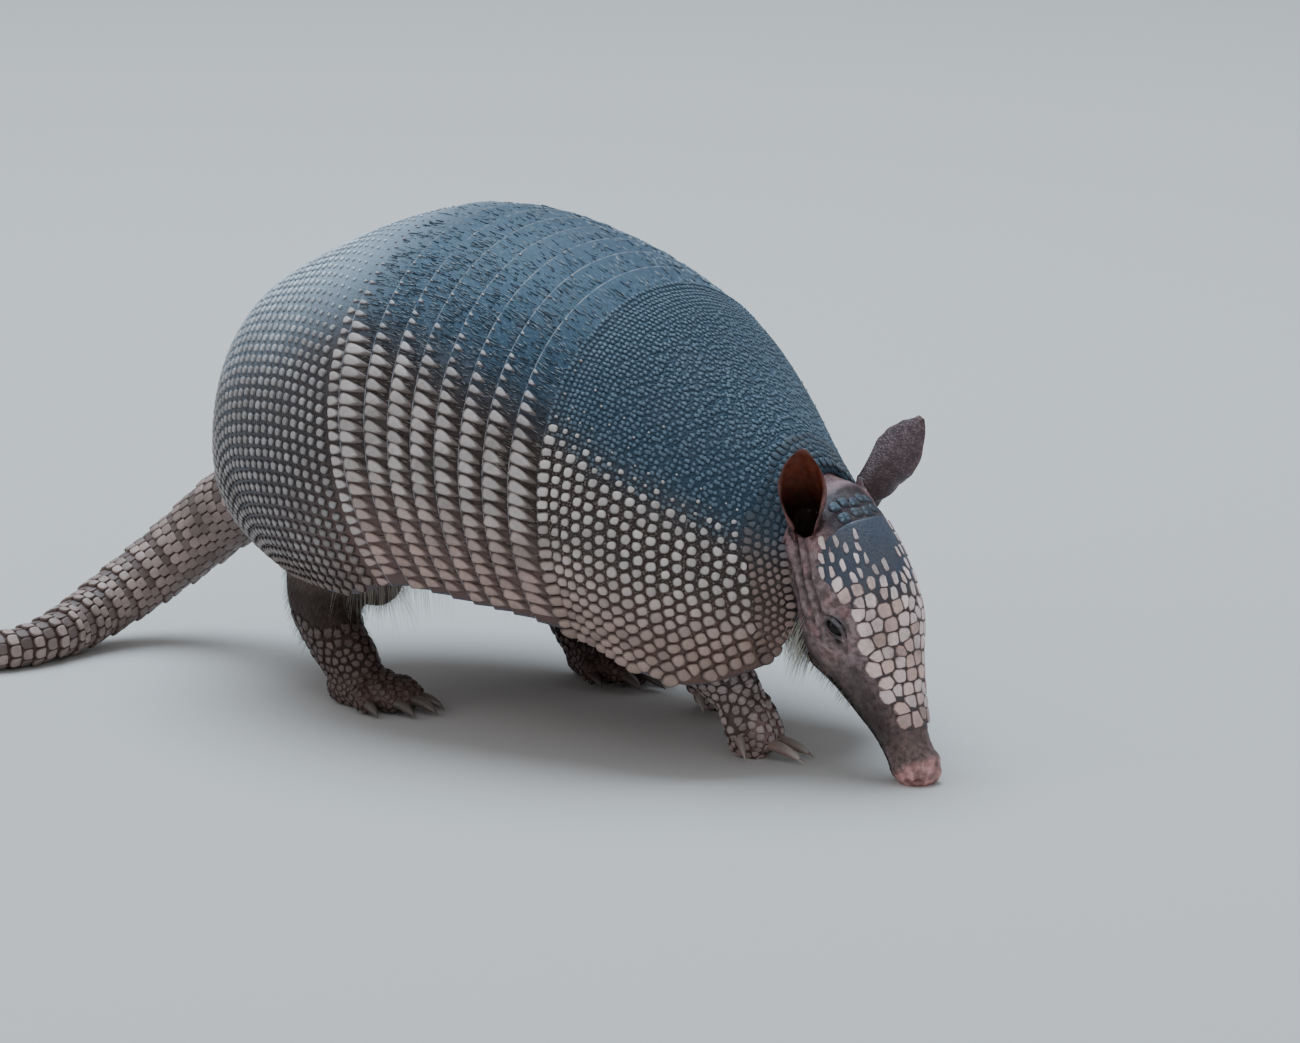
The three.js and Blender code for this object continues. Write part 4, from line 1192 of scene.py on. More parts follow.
# Ears: thin leaves rolled into a tube at the root, joined to the head in a fold. Each ear has
# its foot, its tip and the way its hollow faces. The leaf's rows are height, width and curl.
EARS = [((89.5, -15.8, 89), (98, -30.3, 122), (0.42, -0.9, 0)),
        ((86.6, 12, 93), (101.4, 33.4, 124.2), (-0.15, 0.98, 0.1))]
leaf_height = np.linspace(0, 1, 25)
leaf_top = 1 - (np.maximum(leaf_height - 0.35, 0) / 0.65) ** 2
EAR_OPEN, EAR_CLOSED = 28, 150  # degrees that a leaf curls to each side, at its tip and its foot
EAR_LEAF = np.column_stack([
    leaf_height, (1 + 0.25 * smooth(leaf_height, 0, 0.35)) * np.maximum(leaf_top, 0.03) ** 0.70,
    EAR_OPEN + (EAR_CLOSED - EAR_OPEN) / (1 + np.exp((leaf_height - 0.57) / 0.12))])
EAR_HALF, EAR_ROOT, EAR_THICK = 11, 8, 1.3  # mm: half width, depth in the head, thickness


def ear_axes(base, tip, opening):
    root = np.array(base, float)
    length = float(np.linalg.norm(np.array(tip, float) - root))
    axis = (np.array(tip, float) - root) / length
    facing = np.array(opening, float)
    facing = unit(facing - facing @ axis * axis)
    return root, axis, facing, np.cross(facing, axis), length


def ear_places(ear, u, v, w):
    root, axis, facing, side, length = ear_axes(*ear)
    half = EAR_HALF * size_at(EAR_LEAF, 1, u)
    curl = np.radians(size_at(EAR_LEAF, 2, u))
    bend = half / curl
    across = 2 * v - 1
    angle = across * curl
    edge = np.maximum(1 - np.abs(across) ** 8, 0.0) ** 0.5 * np.maximum(1 - u ** 30, 0.0) ** 0.5
    skin = bend + (w - 0.5) * EAR_THICK * (0.25 + 0.75 * edge)
    height = -EAR_ROOT + (length + EAR_ROOT) * u
    place = (root + height[:, None] * axis + (bend - skin * np.cos(angle) - 3 * (1 - u))[:, None] * facing
             + (skin * np.sin(angle))[:, None] * side)
    return (place + SHELL_PLACE) * MM


cut.to_mesh(body_mesh)
cut.free()
ear_objects = []
for k, ear in enumerate(EARS):
    leaf, *_ = sheet_between("ear_leaf", 72, 44, lambda u, v, w: ear_places(ear, u, v, w))
    ear_objects.append(in_scene(f"ear_leaf_{k}", leaf))
body_mesh = after_modifiers(body_mesh, *[
    ("BOOLEAN", {"operation": "UNION", "solver": "MANIFOLD", "object": item}) for item in ear_objects])
for item in ear_objects:
    bpy.data.objects.remove(item)

EYE_ALONG, EYE_AROUND, EYE_RADIUS, EYE_DEPTH = 36.0, 71.0, 4.2, 2.9
EYE_SLIT_LONG, EYE_SLIT_HIGH = 3.6, 1.3  # mm, half sizes
EYE_SLIT_TURN = math.radians(28)  # how far the slit turns from the head's axis to the forehead


def eye_frame(side):
    """An eye's surface point, and its axes along the slit, across it and outwards."""
    point = head_point(np.array([EYE_ALONG]), np.array([-side * EYE_AROUND]))[0]
    turn = -side * EYE_AROUND
    nose = unit(head_point(EYE_ALONG + 1.0, turn) - head_point(EYE_ALONG - 1.0, turn))
    brow = (head_point(EYE_ALONG, -side * (EYE_AROUND - 3))
            - head_point(EYE_ALONG, -side * (EYE_AROUND + 3)))
    brow = unit(brow - brow @ nose * nose)
    slit = math.cos(EYE_SLIT_TURN) * nose + math.sin(EYE_SLIT_TURN) * brow
    over = -math.sin(EYE_SLIT_TURN) * nose + math.cos(EYE_SLIT_TURN) * brow
    out = unit(np.cross(slit, over))
    if out @ (head_point(EYE_ALONG, turn, 3.0) - point) < 0:
        out = -out
    return point, slit, over, out


def refine(mesh, wanted):
    """Splits the edges of every face whose middle is wanted."""
    shape = bmesh.new()
    shape.from_mesh(mesh)
    middles = np.array([f.calc_center_median()[:] for f in shape.faces])
    chosen = wanted(middles)
    edges = {e for f, yes in zip(shape.faces, chosen) if yes for e in f.edges}
    bmesh.ops.subdivide_edges(shape, edges=list(edges), cuts=1, use_grid_fill=True, smooth=0.0)
    bmesh.ops.triangulate(shape, faces=[f for f in shape.faces if len(f.verts) > 4])
    shape.to_mesh(mesh)
    shape.free()


def on_head(places):
    along, around, out = head_coordinates(places)
    return (along > 14) & (out < 1.6) & (out > 0.5) & (np.abs(around) > 52 - 0.25 * np.maximum(along - 20, 0))


def near_eye(radius):
    frames = [eye_frame(side)[0] for side in (-1, 1)]
    return lambda places: np.min([np.linalg.norm(places - f, axis=1) for f in frames], axis=0) < radius * MM


def near_nose(places):
    return head_coordinates(places)[0] > 84


refine(body_mesh, on_head)
refine(body_mesh, near_nose)
refine(body_mesh, near_eye(9.5))
refine(body_mesh, near_eye(6.5))


def wrinkle(places, scale, stretch=(1, 1, 1)):
    """Smooth noise from -1 to 1, `scale` to the metre."""
    scaled = places * scale * np.array(stretch)
    return np.array([noise.noise(Vector(p)) for p in scaled])


def ridged(places, scale, stretch=(1, 1, 1)):
    return 1 - 2 * np.abs(wrinkle(places, scale, stretch))


TAIL_START, LEGS_APART, NECK_START = -165, -25, 66  # mm along, from the shell's own axes
places, normals = vertex_places(body_mesh), vertex_normals(body_mesh)
along, around, out = head_coordinates(places)
turned = np.abs(around)
head_share = smooth(along, -2, 12) * (out < 1.8)
relief = np.zeros(len(places))
shell_local = places / MM - SHELL_PLACE
body_x, _, body_z = shell_local.T

# Eyelids wrap the ball; the slit between them opens on to it. A crease runs over the upper
# lid, and a tear pit lies at the lower front corner. The slit's inside, the crease, the fold
# under the lower lid and the tear pit are painted dark as shade; the lids' margins are dark.
lid_tone = np.zeros(len(places))
slit_dark_and_shade = np.zeros(len(places))
for side in (-1, 1):
    point, slit, over, outward_eye = eye_frame(side)
    x, y = ((places - point) @ slit) / MM, ((places - point) @ over) / MM
    reach = np.hypot(x, y)
    near = np.abs((places - point) @ outward_eye) < 6 * MM
    ball = np.sqrt(np.maximum(EYE_RADIUS ** 2 - reach ** 2, 0)) - EYE_DEPTH
    lids = np.maximum(ball + 0.5, 0.7 * fall(reach, 3.2, 6.0)) * (reach < 6.0) * near
    opening = EYE_SLIT_HIGH * np.maximum(1 - (x / EYE_SLIT_LONG) ** 2, 0) ** 0.75
    inside = smooth(opening - np.abs(y), -0.10, 0.14) * near * (np.abs(x) < EYE_SLIT_LONG)
    lash = smooth(opening - np.abs(y), -0.75, -0.25) * near * (np.abs(x) < EYE_SLIT_LONG + 0.5)
    lid_rim = 0.25 * np.exp(-((np.abs(y) - opening - 0.35) / 0.35) ** 2) * (reach < 4.6) * near
    crease = np.exp(-((y - 3.1 + 0.075 * x ** 2) / 0.34) ** 2) * smooth(6.4 - reach, 0, 1) * near
    under = np.exp(-((y + 2.5 - 0.07 * x ** 2) / 0.36) ** 2) * smooth(5.6 - reach, 0, 1) * near
    pit = np.exp(-(((x - 4.2) / 2.3) ** 2 + ((y + 3.4) / 1.6) ** 2) ** 1.5) * near
    relief += lids * (1 - inside) + lid_rim * (1 - inside) - 3.4 * inside
    relief -= 0.42 * crease + 0.30 * under + 1.1 * pit
    lid_tone = np.maximum(lid_tone, fall(reach, 3.4, 5.2) * near)
    slit_dark_and_shade = np.maximum.reduce([slit_dark_and_shade, inside, 0.8 * lash, 0.85 * crease, 0.55 * under,
                                   0.95 * pit])

# Mouth: a slit along the underside of the snout. Nostrils: two pits on the nose pad.
mouth_around = np.interp(along, [50, 62, 80, 97], [118, 122, 128, 120])
mouth = (np.exp(-((turned - mouth_around) / 3.0) ** 2)
         * smooth(along, 48, 56) * fall(along, 95, 98))
relief -= 0.8 * mouth * (out < 1.4)
nose_share = smooth(along, 89, 93)
for side in (-1, 1):
    pit = head_point(np.array([97.3]), np.array([side * 62.0]), -0.6)[0]
    reach = np.linalg.norm(places - pit, axis=1) / MM
    relief -= 1.5 * fall(reach, 0.5, 1.7)
    relief += 0.4 * np.exp(-((reach - 2.2) / 0.7) ** 2)
relief += 0.5 * np.exp(-((along - 91) / 2.0) ** 2) * (out < 1.5) * smooth(along, 84, 88)

# Folds of the neck and cheek, which run down from the ears, and finer wrinkles all over.
CHEEK_FOLDS = [(80, 0.8), (91, 1.0), (103, 0.8), (117, 0.9)]  # degrees round the head, depth
neck = smooth(body_x, 66, 74) * fall(along, 10, 20) * (body_z > 45)
folds = ridged(places, 150, (1.6, 0.5, 0.35))
relief += 0.75 * neck * (folds - 0.2)
waver = 3.0 * wrinkle(places, 90) + 1.2 * wrinkle(places, 260)
fold_reach = smooth(along, -9, -2) * fall(along, 24, 40) * (out < 1.8)
cheek_folds = np.zeros(len(places))
for angle, deep in CHEEK_FOLDS:
    fold = deep * np.exp(-((turned - angle - waver) / 2.0) ** 2)
    cheek_folds = np.maximum(cheek_folds, fold)
cheek_folds = cheek_folds * fold_reach
relief += fold_reach * 0.35 * smooth(turned, 72, 80) - 1.7 * cheek_folds
cheek = head_share * (1 - nose_share) * fall(lid_tone, 0.2, 0.6)
relief += 0.22 * cheek * ridged(places, 420) + 0.10 * cheek * wrinkle(places, 900)
legs = fall(body_z, 42, 60)
tail_part = body_x <= TAIL_START
body_part = (body_x < NECK_START) & ~tail_part
relief += 0.30 * legs * body_part * ridged(places, 260, (1, 1, 1.7))
still = smooth(places[:, 2] / MM, 0.3, 2.0)
places = places + normals * (relief * still * MM)[:, None]


def ear_measures(ear, local):
    """Where places stand in an ear: height from 0 to 1, how far round its curl, how far out
    from the curl's axis, and the curl's own radius there."""
    root, axis, facing, side, length = ear_axes(*ear)
    from_root = local - root
    height = from_root @ axis / length
    u_here = np.clip((height * length + EAR_ROOT) / (length + EAR_ROOT), 0, 1)
    curl = np.radians(size_at(EAR_LEAF, 2, u_here))
    bend = EAR_HALF * size_at(EAR_LEAF, 1, u_here) / curl
    middle = bend - 3 * (1 - u_here)
    deep, sideways = from_root @ facing, from_root @ side
    turn = np.abs(np.arctan2(sideways, middle - deep)) / curl
    return height, turn, np.hypot(deep - middle, sideways), bend


# The nape dips below the shield's front, and the ears' hollows go down into the head.
ear_pit = np.zeros(len(places))
ear_near = np.zeros(len(places))
for ear in EARS:
    height, turn, radius, bend = ear_measures(ear, shell_local)
    ear_near = np.maximum(ear_near, fall(radius - bend, 0.5, 3.0) * smooth(height, -0.15, 0.08))
    pit = (smooth(0.92 - radius / bend, 0, 0.3) * smooth(height, 0.0, 0.15)
           * fall(height, 0.4, 0.6))
    places = places - pit[:, None] * ear_axes(*ear)[1] * (4 * MM)
    ear_pit = np.maximum(ear_pit, pit)

dip = (smooth(body_x, 68, 77) * fall(body_x, 86, 96)
       * smooth(body_z, 84, 96) * (1 - ear_near))
places[:, 2] -= 7.0 * MM * dip

# Nothing of the hide comes through the shoulder shield.
OUTER_ROWS, OUTER_COLUMNS = 39, 139
outer_t, outer_around = np.meshgrid(np.linspace(0, SHIELD_BACK, OUTER_ROWS + 1),
                                    np.linspace(-1, 1, OUTER_COLUMNS + 1), indexing="ij")
outer = shell_point(outer_t, scapular_edge(outer_t) * outer_around, -SHELL_BED)
outer_mesh = bmesh.new()
bmesh.ops.create_grid(outer_mesh, x_segments=OUTER_ROWS, y_segments=OUTER_COLUMNS, size=0.5)
for vertex in outer_mesh.verts:
    vertex.co = outer[round((vertex.co.x + 0.5) * OUTER_ROWS), round((vertex.co.y + 0.5) * OUTER_COLUMNS)]
outer_tree = BVHTree.FromBMesh(outer_mesh)
outer_mesh.free()
SHIELD_CLEAR = 2.6  # mm below the shield's outside that the hide keeps
SHIELD_NEAR, SHIELD_ASIDE = 0.009, 0.0006  # metres: how far off the shield counts, and beside it
shell_middle = Vector((SHELL_PLACE + np.array([40, 0, 70])) * MM)
by_shield = (body_x > 5) & (body_x < 100) & (body_z > 20)
for index in np.nonzero(by_shield)[0]:
    place = Vector(places[index])
    near_place, normal, *_ = outer_tree.find_nearest(place, SHIELD_NEAR)
    if near_place is None:
        continue
    if normal @ (near_place - shell_middle) < 0:
        normal = -normal
    off = place - near_place
    height = off @ normal
    if (off - height * normal).length > SHIELD_ASIDE or height < -SHIELD_CLEAR * MM:
        continue
    sink = (height + SHIELD_CLEAR * MM) * fall(height / MM, 4, 8)
    places[index] = place - normal * float(sink)
places[:, 2] = np.maximum(places[:, 2], FLOOR_GAP)
body_mesh.vertices.foreach_set("co", places.ravel())
body_mesh.update()


# Colours of the hide, part by part, as reflectances.
def tint(red, green, blue):
    """A reflectance from a plain 0 to 255 screen colour."""
    return np.array([((c / 255 + 0.055) / 1.055) ** 2.4 for c in (red, green, blue)])


def blend(color, share, other):
    return color + np.clip(share, 0, 1)[:, None] * (other - color)


HIDE_BELLY = tint(140, 112, 102)
# HIDE_THIGH: the hind leg's dark hide, darkened further as painted shade under the shell
HIDE_THIGH = tint(60, 46, 42)
HIDE_FORELEG = tint(92, 74, 70)
HIDE_TOES = tint(104, 78, 72)
HIDE_TAIL = tint(84, 64, 54)
HIDE_NECK = tint(152, 122, 126)
HIDE_CHEEK = tint(158, 136, 138)
# HIDE_JAW: dark brown hide, darkened further as painted shade under the head; also the darker side of the
# snout
HIDE_JAW = tint(50, 45, 44)
HIDE_CROWN = tint(58, 54, 62)
HIDE_SNOUT = tint(124, 101, 98)
HIDE_NOSE = tint(222, 168, 164)
HIDE_NOSE_BLOTCH = tint(90, 70, 66)
HIDE_LID = tint(98, 98, 104)
HIDE_DARK = tint(18, 15, 15)
# HIDE_FOLD: painted shade in the cheek folds' creases, and a fine dark mottle
HIDE_FOLD = tint(48, 33, 34)
HIDE_FLUSH = tint(176, 134, 136)
HIDE_MOTTLE = tint(84, 76, 74)
EAR_INNER = tint(96, 40, 20)
EAR_DEEP_SHADE = tint(26, 10, 6)
EAR_RIM = tint(150, 108, 102)
EAR_OUTER = tint(124, 106, 112)
EAR_BASE = tint(72, 50, 50)

hind = (body_x < LEGS_APART) & ~tail_part
fore = (body_x >= LEGS_APART) & (body_x < NECK_START)
crown = (smooth(along, -15, -10) * fall(along, 5, 9) * fall(turned, 42, 62)
         * (out < 1.8))
color = np.tile(HIDE_BELLY, (len(places), 1))
for share, other in [
    (fall(body_z, 40, 56) * hind, HIDE_THIGH),
    (fall(body_z, 40, 56) * fore, HIDE_FORELEG),
    (fall(body_z, 6, 16) * (hind | fore), HIDE_TOES),
    (tail_part, HIDE_TAIL),
    (smooth(body_x, 64, 72), HIDE_NECK),
    (head_share, HIDE_CHEEK),
    # the underside of the head: dark hide with painted shade
    (head_share * smooth(turned, 92, 122), HIDE_JAW),
    (head_share * smooth(along, 50, 70) * fall(turned, 88, 112), HIDE_SNOUT),
    (head_share * smooth(along, 42, 58) * fall(along, 76, 88) * smooth(turned, 50, 76) * 0.7,
     HIDE_JAW),
    (crown * 0.9, HIDE_CROWN),
    (nose_share, HIDE_NOSE),
    (lid_tone * 0.8, HIDE_LID),
    # the lids' dark margins, and painted shade in the slit, the creases and the tear pit
    (slit_dark_and_shade, HIDE_DARK),
    # painted shade in the mouth's slit
    (mouth * 0.7 * head_share, HIDE_DARK),
    (nose_share * smooth(wrinkle(places, 240), 0.05, 0.35) * 0.5, HIDE_NOSE_BLOTCH),
    # painted shade in the troughs of the neck folds
    (smooth(-folds, 0.0, 0.8) * neck * 0.5, HIDE_DARK * 1.5),
    # painted shade in the creases of the cheek folds
    (cheek_folds, HIDE_FOLD),
    (head_share * fall(along, 40, 60) * smooth(wrinkle(places, 190), 0.0, 0.5) * 0.6,
     HIDE_FLUSH),
    (head_share * smooth(wrinkle(places, 330), 0.0, 0.4) * 0.55, HIDE_MOTTLE),
    (head_share * (1 - nose_share) * smooth(wrinkle(places, 620), 0.1, 0.4) * 0.45, HIDE_FOLD),
]:
    color = blend(color, share, other)
ear_share = np.zeros(len(places))
for ear in EARS:
    height, turn, radius, bend = ear_measures(ear, shell_local)
    member = (height > 0.02) & (height < 1.06) & (np.abs(radius - bend) < 1.3) & (turn < 1.08)
    inner = member & (radius < bend - 0.15)
    ear_share = np.maximum(ear_share, member & ~inner)
    rim = member * np.maximum(smooth(turn, 0.80, 0.98), smooth(height, 0.93, 1.0))
    color = np.where(member[:, None], EAR_OUTER, color)
    color = blend(color, member * fall(height, 0.15, 0.7) * 0.8, EAR_BASE)
    color = np.where(inner[:, None], EAR_INNER, color)
    # Painted shade deep in the ear's hollow, towards its root.
    color = blend(color, inner * fall(height, 0.25, 0.85), EAR_DEEP_SHADE)
    color = blend(color, rim * 0.7 * (1 - 0.5 * smooth(height, 0.5, 0.9)), EAR_RIM)
# Painted shade in the ears' pits.
color = blend(color, smooth(ear_pit, 0.05, 0.5), EAR_DEEP_SHADE)
write_marks(body_mesh, np.column_stack([color, ear_share]), "hide_color")
body_mesh.materials.clear()
body_mesh.polygons.foreach_set("material_index", np.zeros(len(body_mesh.polygons), np.int32))

hide = add_piece("hide", body_mesh, [
    "trunk", "neck", "head", "ear_right", "ear_left", "tail_base", "tail_middle", "tail_tip",
    *[foot[0] for foot in FEET]])


def hide_leather():
    """Bare wrinkled hide: blotchy, with pores and a fine net of creases."""
    material, n, shader = new_material("bare_hide")
    body = n.on_body()
    attribute = n.add("ShaderNodeAttribute", {"attribute_name": "hide_color"})
    painted, on_ear = attribute.outputs["Color"], attribute.outputs["Alpha"]
    patches = n.ramp(n.noise(body, 330.0, 4.0, 0.65), 0.42, 0.60)
    base = n.mix(n.times(patches, 0.60), painted, n.mix(1.0, painted, (0.45, 0.38, 0.38), "MULTIPLY"))
    pale = n.ramp(n.add("ShaderNodeRGBToBW", Color=painted).outputs[0], 0.012, 0.07)
    color, rough, _ = n.wear(base, (0.16, 0.13, 0.115), n.times(pale, 0.3))
    rows = n.add("ShaderNodeMapping", Vector=body, Rotation=(0.35, 0.30, 0.0),
                 Scale=(900.0, 900.0, 1500.0)).outputs[0]
    beads = n.add("ShaderNodeTexVoronoi", Vector=rows, Scale=1.0).outputs["Distance"]
    beads = n.times(n.ramp(beads, 0.25, 0.62), on_ear)
    net = n.cells(body, 1050.0)
    crease = n.minus_from_one(n.ramp(net, 0.0, 0.16))
    dark = n.mix(1.0, color, (0.42, 0.36, 0.34), "MULTIPLY")
    shown = n.mix(n.times(crease, 0.32), color, dark)
    n.put(shader.inputs["Base Color"], n.mix(n.times(beads, 0.55), shown, (0.030, 0.018, 0.018)))
    n.put(shader.inputs["Roughness"], rough)
    n.put(shader.inputs["Specular IOR Level"], n.scaled(pale, 0.24, 0.08))
    height = n.math("ADD", n.ramp(net, 0.0, 0.35), n.noise(body, 2200.0, 2.0))
    n.bump(shader, n.math("SUBTRACT", height, n.times(beads, 1.5)), 0.4, 0.0002)
    return material


hide.data.materials.append(hide_leather())

# ----------------------------------------------------------
# Eyes: small glossy black balls, set deep behind the lids.


def filled_mesh(name, makers):
    """One mesh from several balls or rods; each maker adds its own to a bmesh."""
    shape = bmesh.new()
    for maker in makers:
        maker(shape)
    bmesh.ops.recalc_face_normals(shape, faces=shape.faces[:])
    return mesh_of(name, shape)


eye_gloss, n, shader = new_material("eye_gloss")
n.put(shader.inputs["Base Color"], n.mix(n.noise(n.on_body(), 700.0), (0.003, 0.002, 0.002),
                                         (0.010, 0.006, 0.005)))
shader.inputs["Roughness"].default_value = 0.10
shader.inputs["Specular IOR Level"].default_value = 0.22

for side, name in ((-1, "eye_right"), (1, "eye_left")):
    point, slit, over, outward_eye = eye_frame(side)
    middle = point - outward_eye * EYE_DEPTH * MM

    def eyeball(shape):
        made = bmesh.ops.create_uvsphere(shape, u_segments=40, v_segments=24, radius=EYE_RADIUS * MM)
        for vertex in made["verts"]:
            ahead = max(Vector(vertex.co).normalized() @ Vector(outward_eye), 0.0)
            vertex.co = Vector(middle) + vertex.co * (1 + 0.03 * ahead ** 6)

    ball = add_piece(name + "_ball", filled_mesh(name + "_ball", [eyeball]), [name])
    ball.data.materials.append(eye_gloss)

# ----------------------------------------------------------
# Claws: solid curved horn, ridged along, worn pale at the tip, growing out of each toe.

claw_horn, n, shader = new_material("claw_horn")
dark_claw, _, _, alonglaw = n.masks()
stripe = n.noise(n.add("ShaderNodeUVMap", {"uv_map": "Claw"}).outputs[0], 14.0, 4.0)
base = n.mix(n.ramp(alonglaw, 0.15, 0.95), (0.22, 0.145, 0.125), (0.56, 0.51, 0.47))
base = n.mix(dark_claw, base, (0.040, 0.032, 0.032))
base = n.mix(n.times(n.ramp(stripe, 0.42, 0.7), 0.5), base, (0.20, 0.15, 0.12))
color, rough, _ = n.wear(base, (0.15, 0.12, 0.10), 0.5)
n.put(shader.inputs["Base Color"], color)
n.put(shader.inputs["Roughness"], n.math("SUBTRACT", rough, 0.12))
n.bump(shader, stripe, 0.35, 0.0003)

CLAW_BLUNT = 9  # how squarely a claw starts and ends; its tip is drawn out after

for foot in FEET:
    name, leg = foot[:2]
    nails = [digit_rows(foot, digit)[1] for digit in leg["digits"]]
    shares = []

    def claw_places(rows, angle, f):
        """A claw: ridged above, hollowed a little below, drawn out to a point."""
        thin = 1 - 0.75 * smooth(f, 0.55, 1.0)
        rows = np.array(rows)
        rows[:, 3:] *= 0.97
        placed = rod_places(rows, np.array([0, 0, 1.0]), angle, f, CLAW_BLUNT)
        centre = (through_points(rows[:, :3], f) + SHELL_PLACE) * MM
        below = np.maximum(-np.cos(angle), 0) ** 2 * 0.28
        shares.append(np.stack([f, angle / np.pi], -1))
        return centre + (placed - centre) * (thin * (1 - below))[:, None]

    mesh = filled_mesh(name + "_claws", [
        lambda shape, rows=rows: add_ball(shape, 20, 28, lambda a, f: claw_places(rows, a, f))
        for rows in nails])
    places = vertex_places(mesh)
    places[:, 2] = np.maximum(places[:, 2], FLOOR_GAP)
    mesh.vertices.foreach_set("co", places.ravel())
    shares = np.concatenate(shares)
    dark = 0.0 if name.startswith("fore") else 0.8
    write_marks(mesh, np.stack(np.broadcast_arrays(dark, 0.0, 0.5, shares[:, 0]), -1))
    write_map(mesh, "Claw", shares * (0.12, 1.1))
    short = name.replace("_leg", "_claw")
    claws = add_piece(name.replace("_leg", "_claws"), mesh,
                      [f"{short}_{i + 1}" for i in range(len(nails))])
    claws.data.materials.append(claw_horn)

# ----------------------------------------------------------
# Leg and foot scales: flat many-sided scales, largest on the shins and backs of the feet,
# bedded in the hide on every side.

hide_places, hide_normals = vertex_places(hide.data), vertex_normals(hide.data)


def scattered(choice, spacing, seed):
    """Evenly scattered vertices of the hide; spacing is in mm, one per chosen vertex."""
    order = np.random.default_rng(seed).permutation(np.nonzero(choice)[0])
    room = dict(zip(np.nonzero(choice)[0], spacing))
    cell = max(spacing) * MM
    taken, grid = [], {}
    for index in order:
        place, apart = hide_places[index], room[index] * MM
        key = tuple(np.floor(place / cell).astype(int))
        close = [k for dx in (-1, 0, 1) for dy in (-1, 0, 1) for dz in (-1, 0, 1)
                 for k in grid.get((key[0] + dx, key[1] + dy, key[2] + dz), ())]
        if close and np.min(np.linalg.norm(hide_places[close] - place, axis=1)) < apart:
            continue
        taken.append(index)
        grid.setdefault(key, []).append(index)
    return np.array(taken)


def scale_axes(index, towards):
    """Forward, across and outward axes on the hide, forward along the given direction."""
    outward = unit(hide_normals[index])
    forward = unit(towards - np.sum(towards * outward, -1, keepdims=True) * outward)
    return forward, np.cross(outward, forward), outward


SCALE_RINGS = [(0.55, 1.0, 0.0), (0.86, 0.86, 0.0), (1.0, 0.25, 0.0), (1.0, 0.0, -0.0005)]


def lay_scales(name, index, towards, sides, widest, fill, height, marks, slot, roots):
    forward, across, outward = scale_axes(index, towards)
    centre = hide_places[index]
    outlines = cell_outlines(centre, forward, across, sides, widest, 8.0, 10) * fill
    return lay_studs(name, slot, (centre, forward, across, outward), outlines, height, SCALE_RINGS,
                     marks, roots)


x, y, z = (hide_places / MM - SHELL_PLACE).T
SCALE_HEIGHTS = [0, 8, 16, 40, 60]  # mm up the leg, where the spacings below hold
LEG_SCALES = {
    # the middle of the scaled leg from its foot (forwards, outwards), how far the scales reach
    # round and up, their spacing, share of their cells, how dark they get up the leg as painted
    # shade under the shell, and their horn
    "fore": ((4, 4), 26, 62, [2.1, 2.5, 2.9, 3.1, 3.3], 0.96, 0.2, scute_horn(
        "fore_scale_horn", (0.40, 0.315, 0.30), (0.46, 0.34, 0.32), (0.22, 0.165, 0.155),
        (0.055, 0.038, 0.034), 0.45, 0.74)),
    # the hind leg's horn is dark brown, darkened further as painted shade under the shell
    "hind": ((-8, -4), 34, 31, [1.9, 2.2, 2.6, 3.2, 3.6], 0.9, 0.9, scute_horn(
        "hind_scale_horn", (0.115, 0.074, 0.066), (0.13, 0.082, 0.072), (0.055, 0.037, 0.033),
        (0.030, 0.021, 0.019), 0.45, 0.60)),
}
for k, foot in enumerate(FEET):
    name, _, side, fx, fy, _ = foot
    middle, wide, tall, spacings, share, darkest, horn = LEG_SCALES[name[:4]]
    apart = np.hypot(x - fx - middle[0], y - fy - side * middle[1])
    choice = (apart < wide) & (z > 0.8) & (z < tall) & (hide_normals[:, 2] > -0.75)
    if name.startswith("hind"):  # the scales give way to bare hide bit by bit
        choice &= z < 20 + 13 * np.random.default_rng(50 + k).uniform(0, 1, len(z)) ** 0.5
    spacing = np.interp(z[choice], SCALE_HEIGHTS, spacings)
    spacing = spacing * np.random.default_rng(k).uniform(0.9, 1.1, len(spacing))
    index = scattered(choice, spacing, 100 + k)
    high = z[index]
    towards = np.tile([0.5, 0, -1], (len(index), 1))
    tone = np.random.default_rng(200 + k).uniform(0, 1, len(index))
    # Painted shade: the scales get darker up the leg, under the shell's edge.
    marks = np.column_stack([smooth(high, 22, 44) * darkest, 0 * tone, tone, fall(high, 5, 14)])
    roots = np.column_stack([0.1 + 0.2 * k + high * 0.002,
                             0.5 + np.arctan2(y[index] - fy, x[index] - fx) * 0.12])
    scales = lay_scales(name + "_scales", index, towards, 10, 0.0036, share,
                        (0.30 + 0.2 * tone) * MM, marks, "leg_hide", roots)
    scales.data.materials.append(horn)

# ----------------------------------------------------------
# Tail rings: from the rump to past the middle, rings of long scales whose rear edges stand
# over the next ring; towards the tip the rings break up into close small scales.

TAIL_RING_LENGTHS = [15.5, 15, 14.5, 14, 13.5, 13, 12.5, 12, 11.5, 11, 10.5, 10, 9.5, 9, 8.5, 8, 7.5, 7]
tail_rows = np.array([(*row, row[3]) for row in TAIL_PATH], float)
tail_share = np.linspace(0, 1, 900)
tail_line = through_points(tail_rows[:, :3], tail_share)
tail_run = np.append(0, np.cumsum(np.linalg.norm(np.diff(tail_line, axis=0), axis=1)))
tail_table = np.column_stack([np.arange(len(tail_rows)), tail_rows])


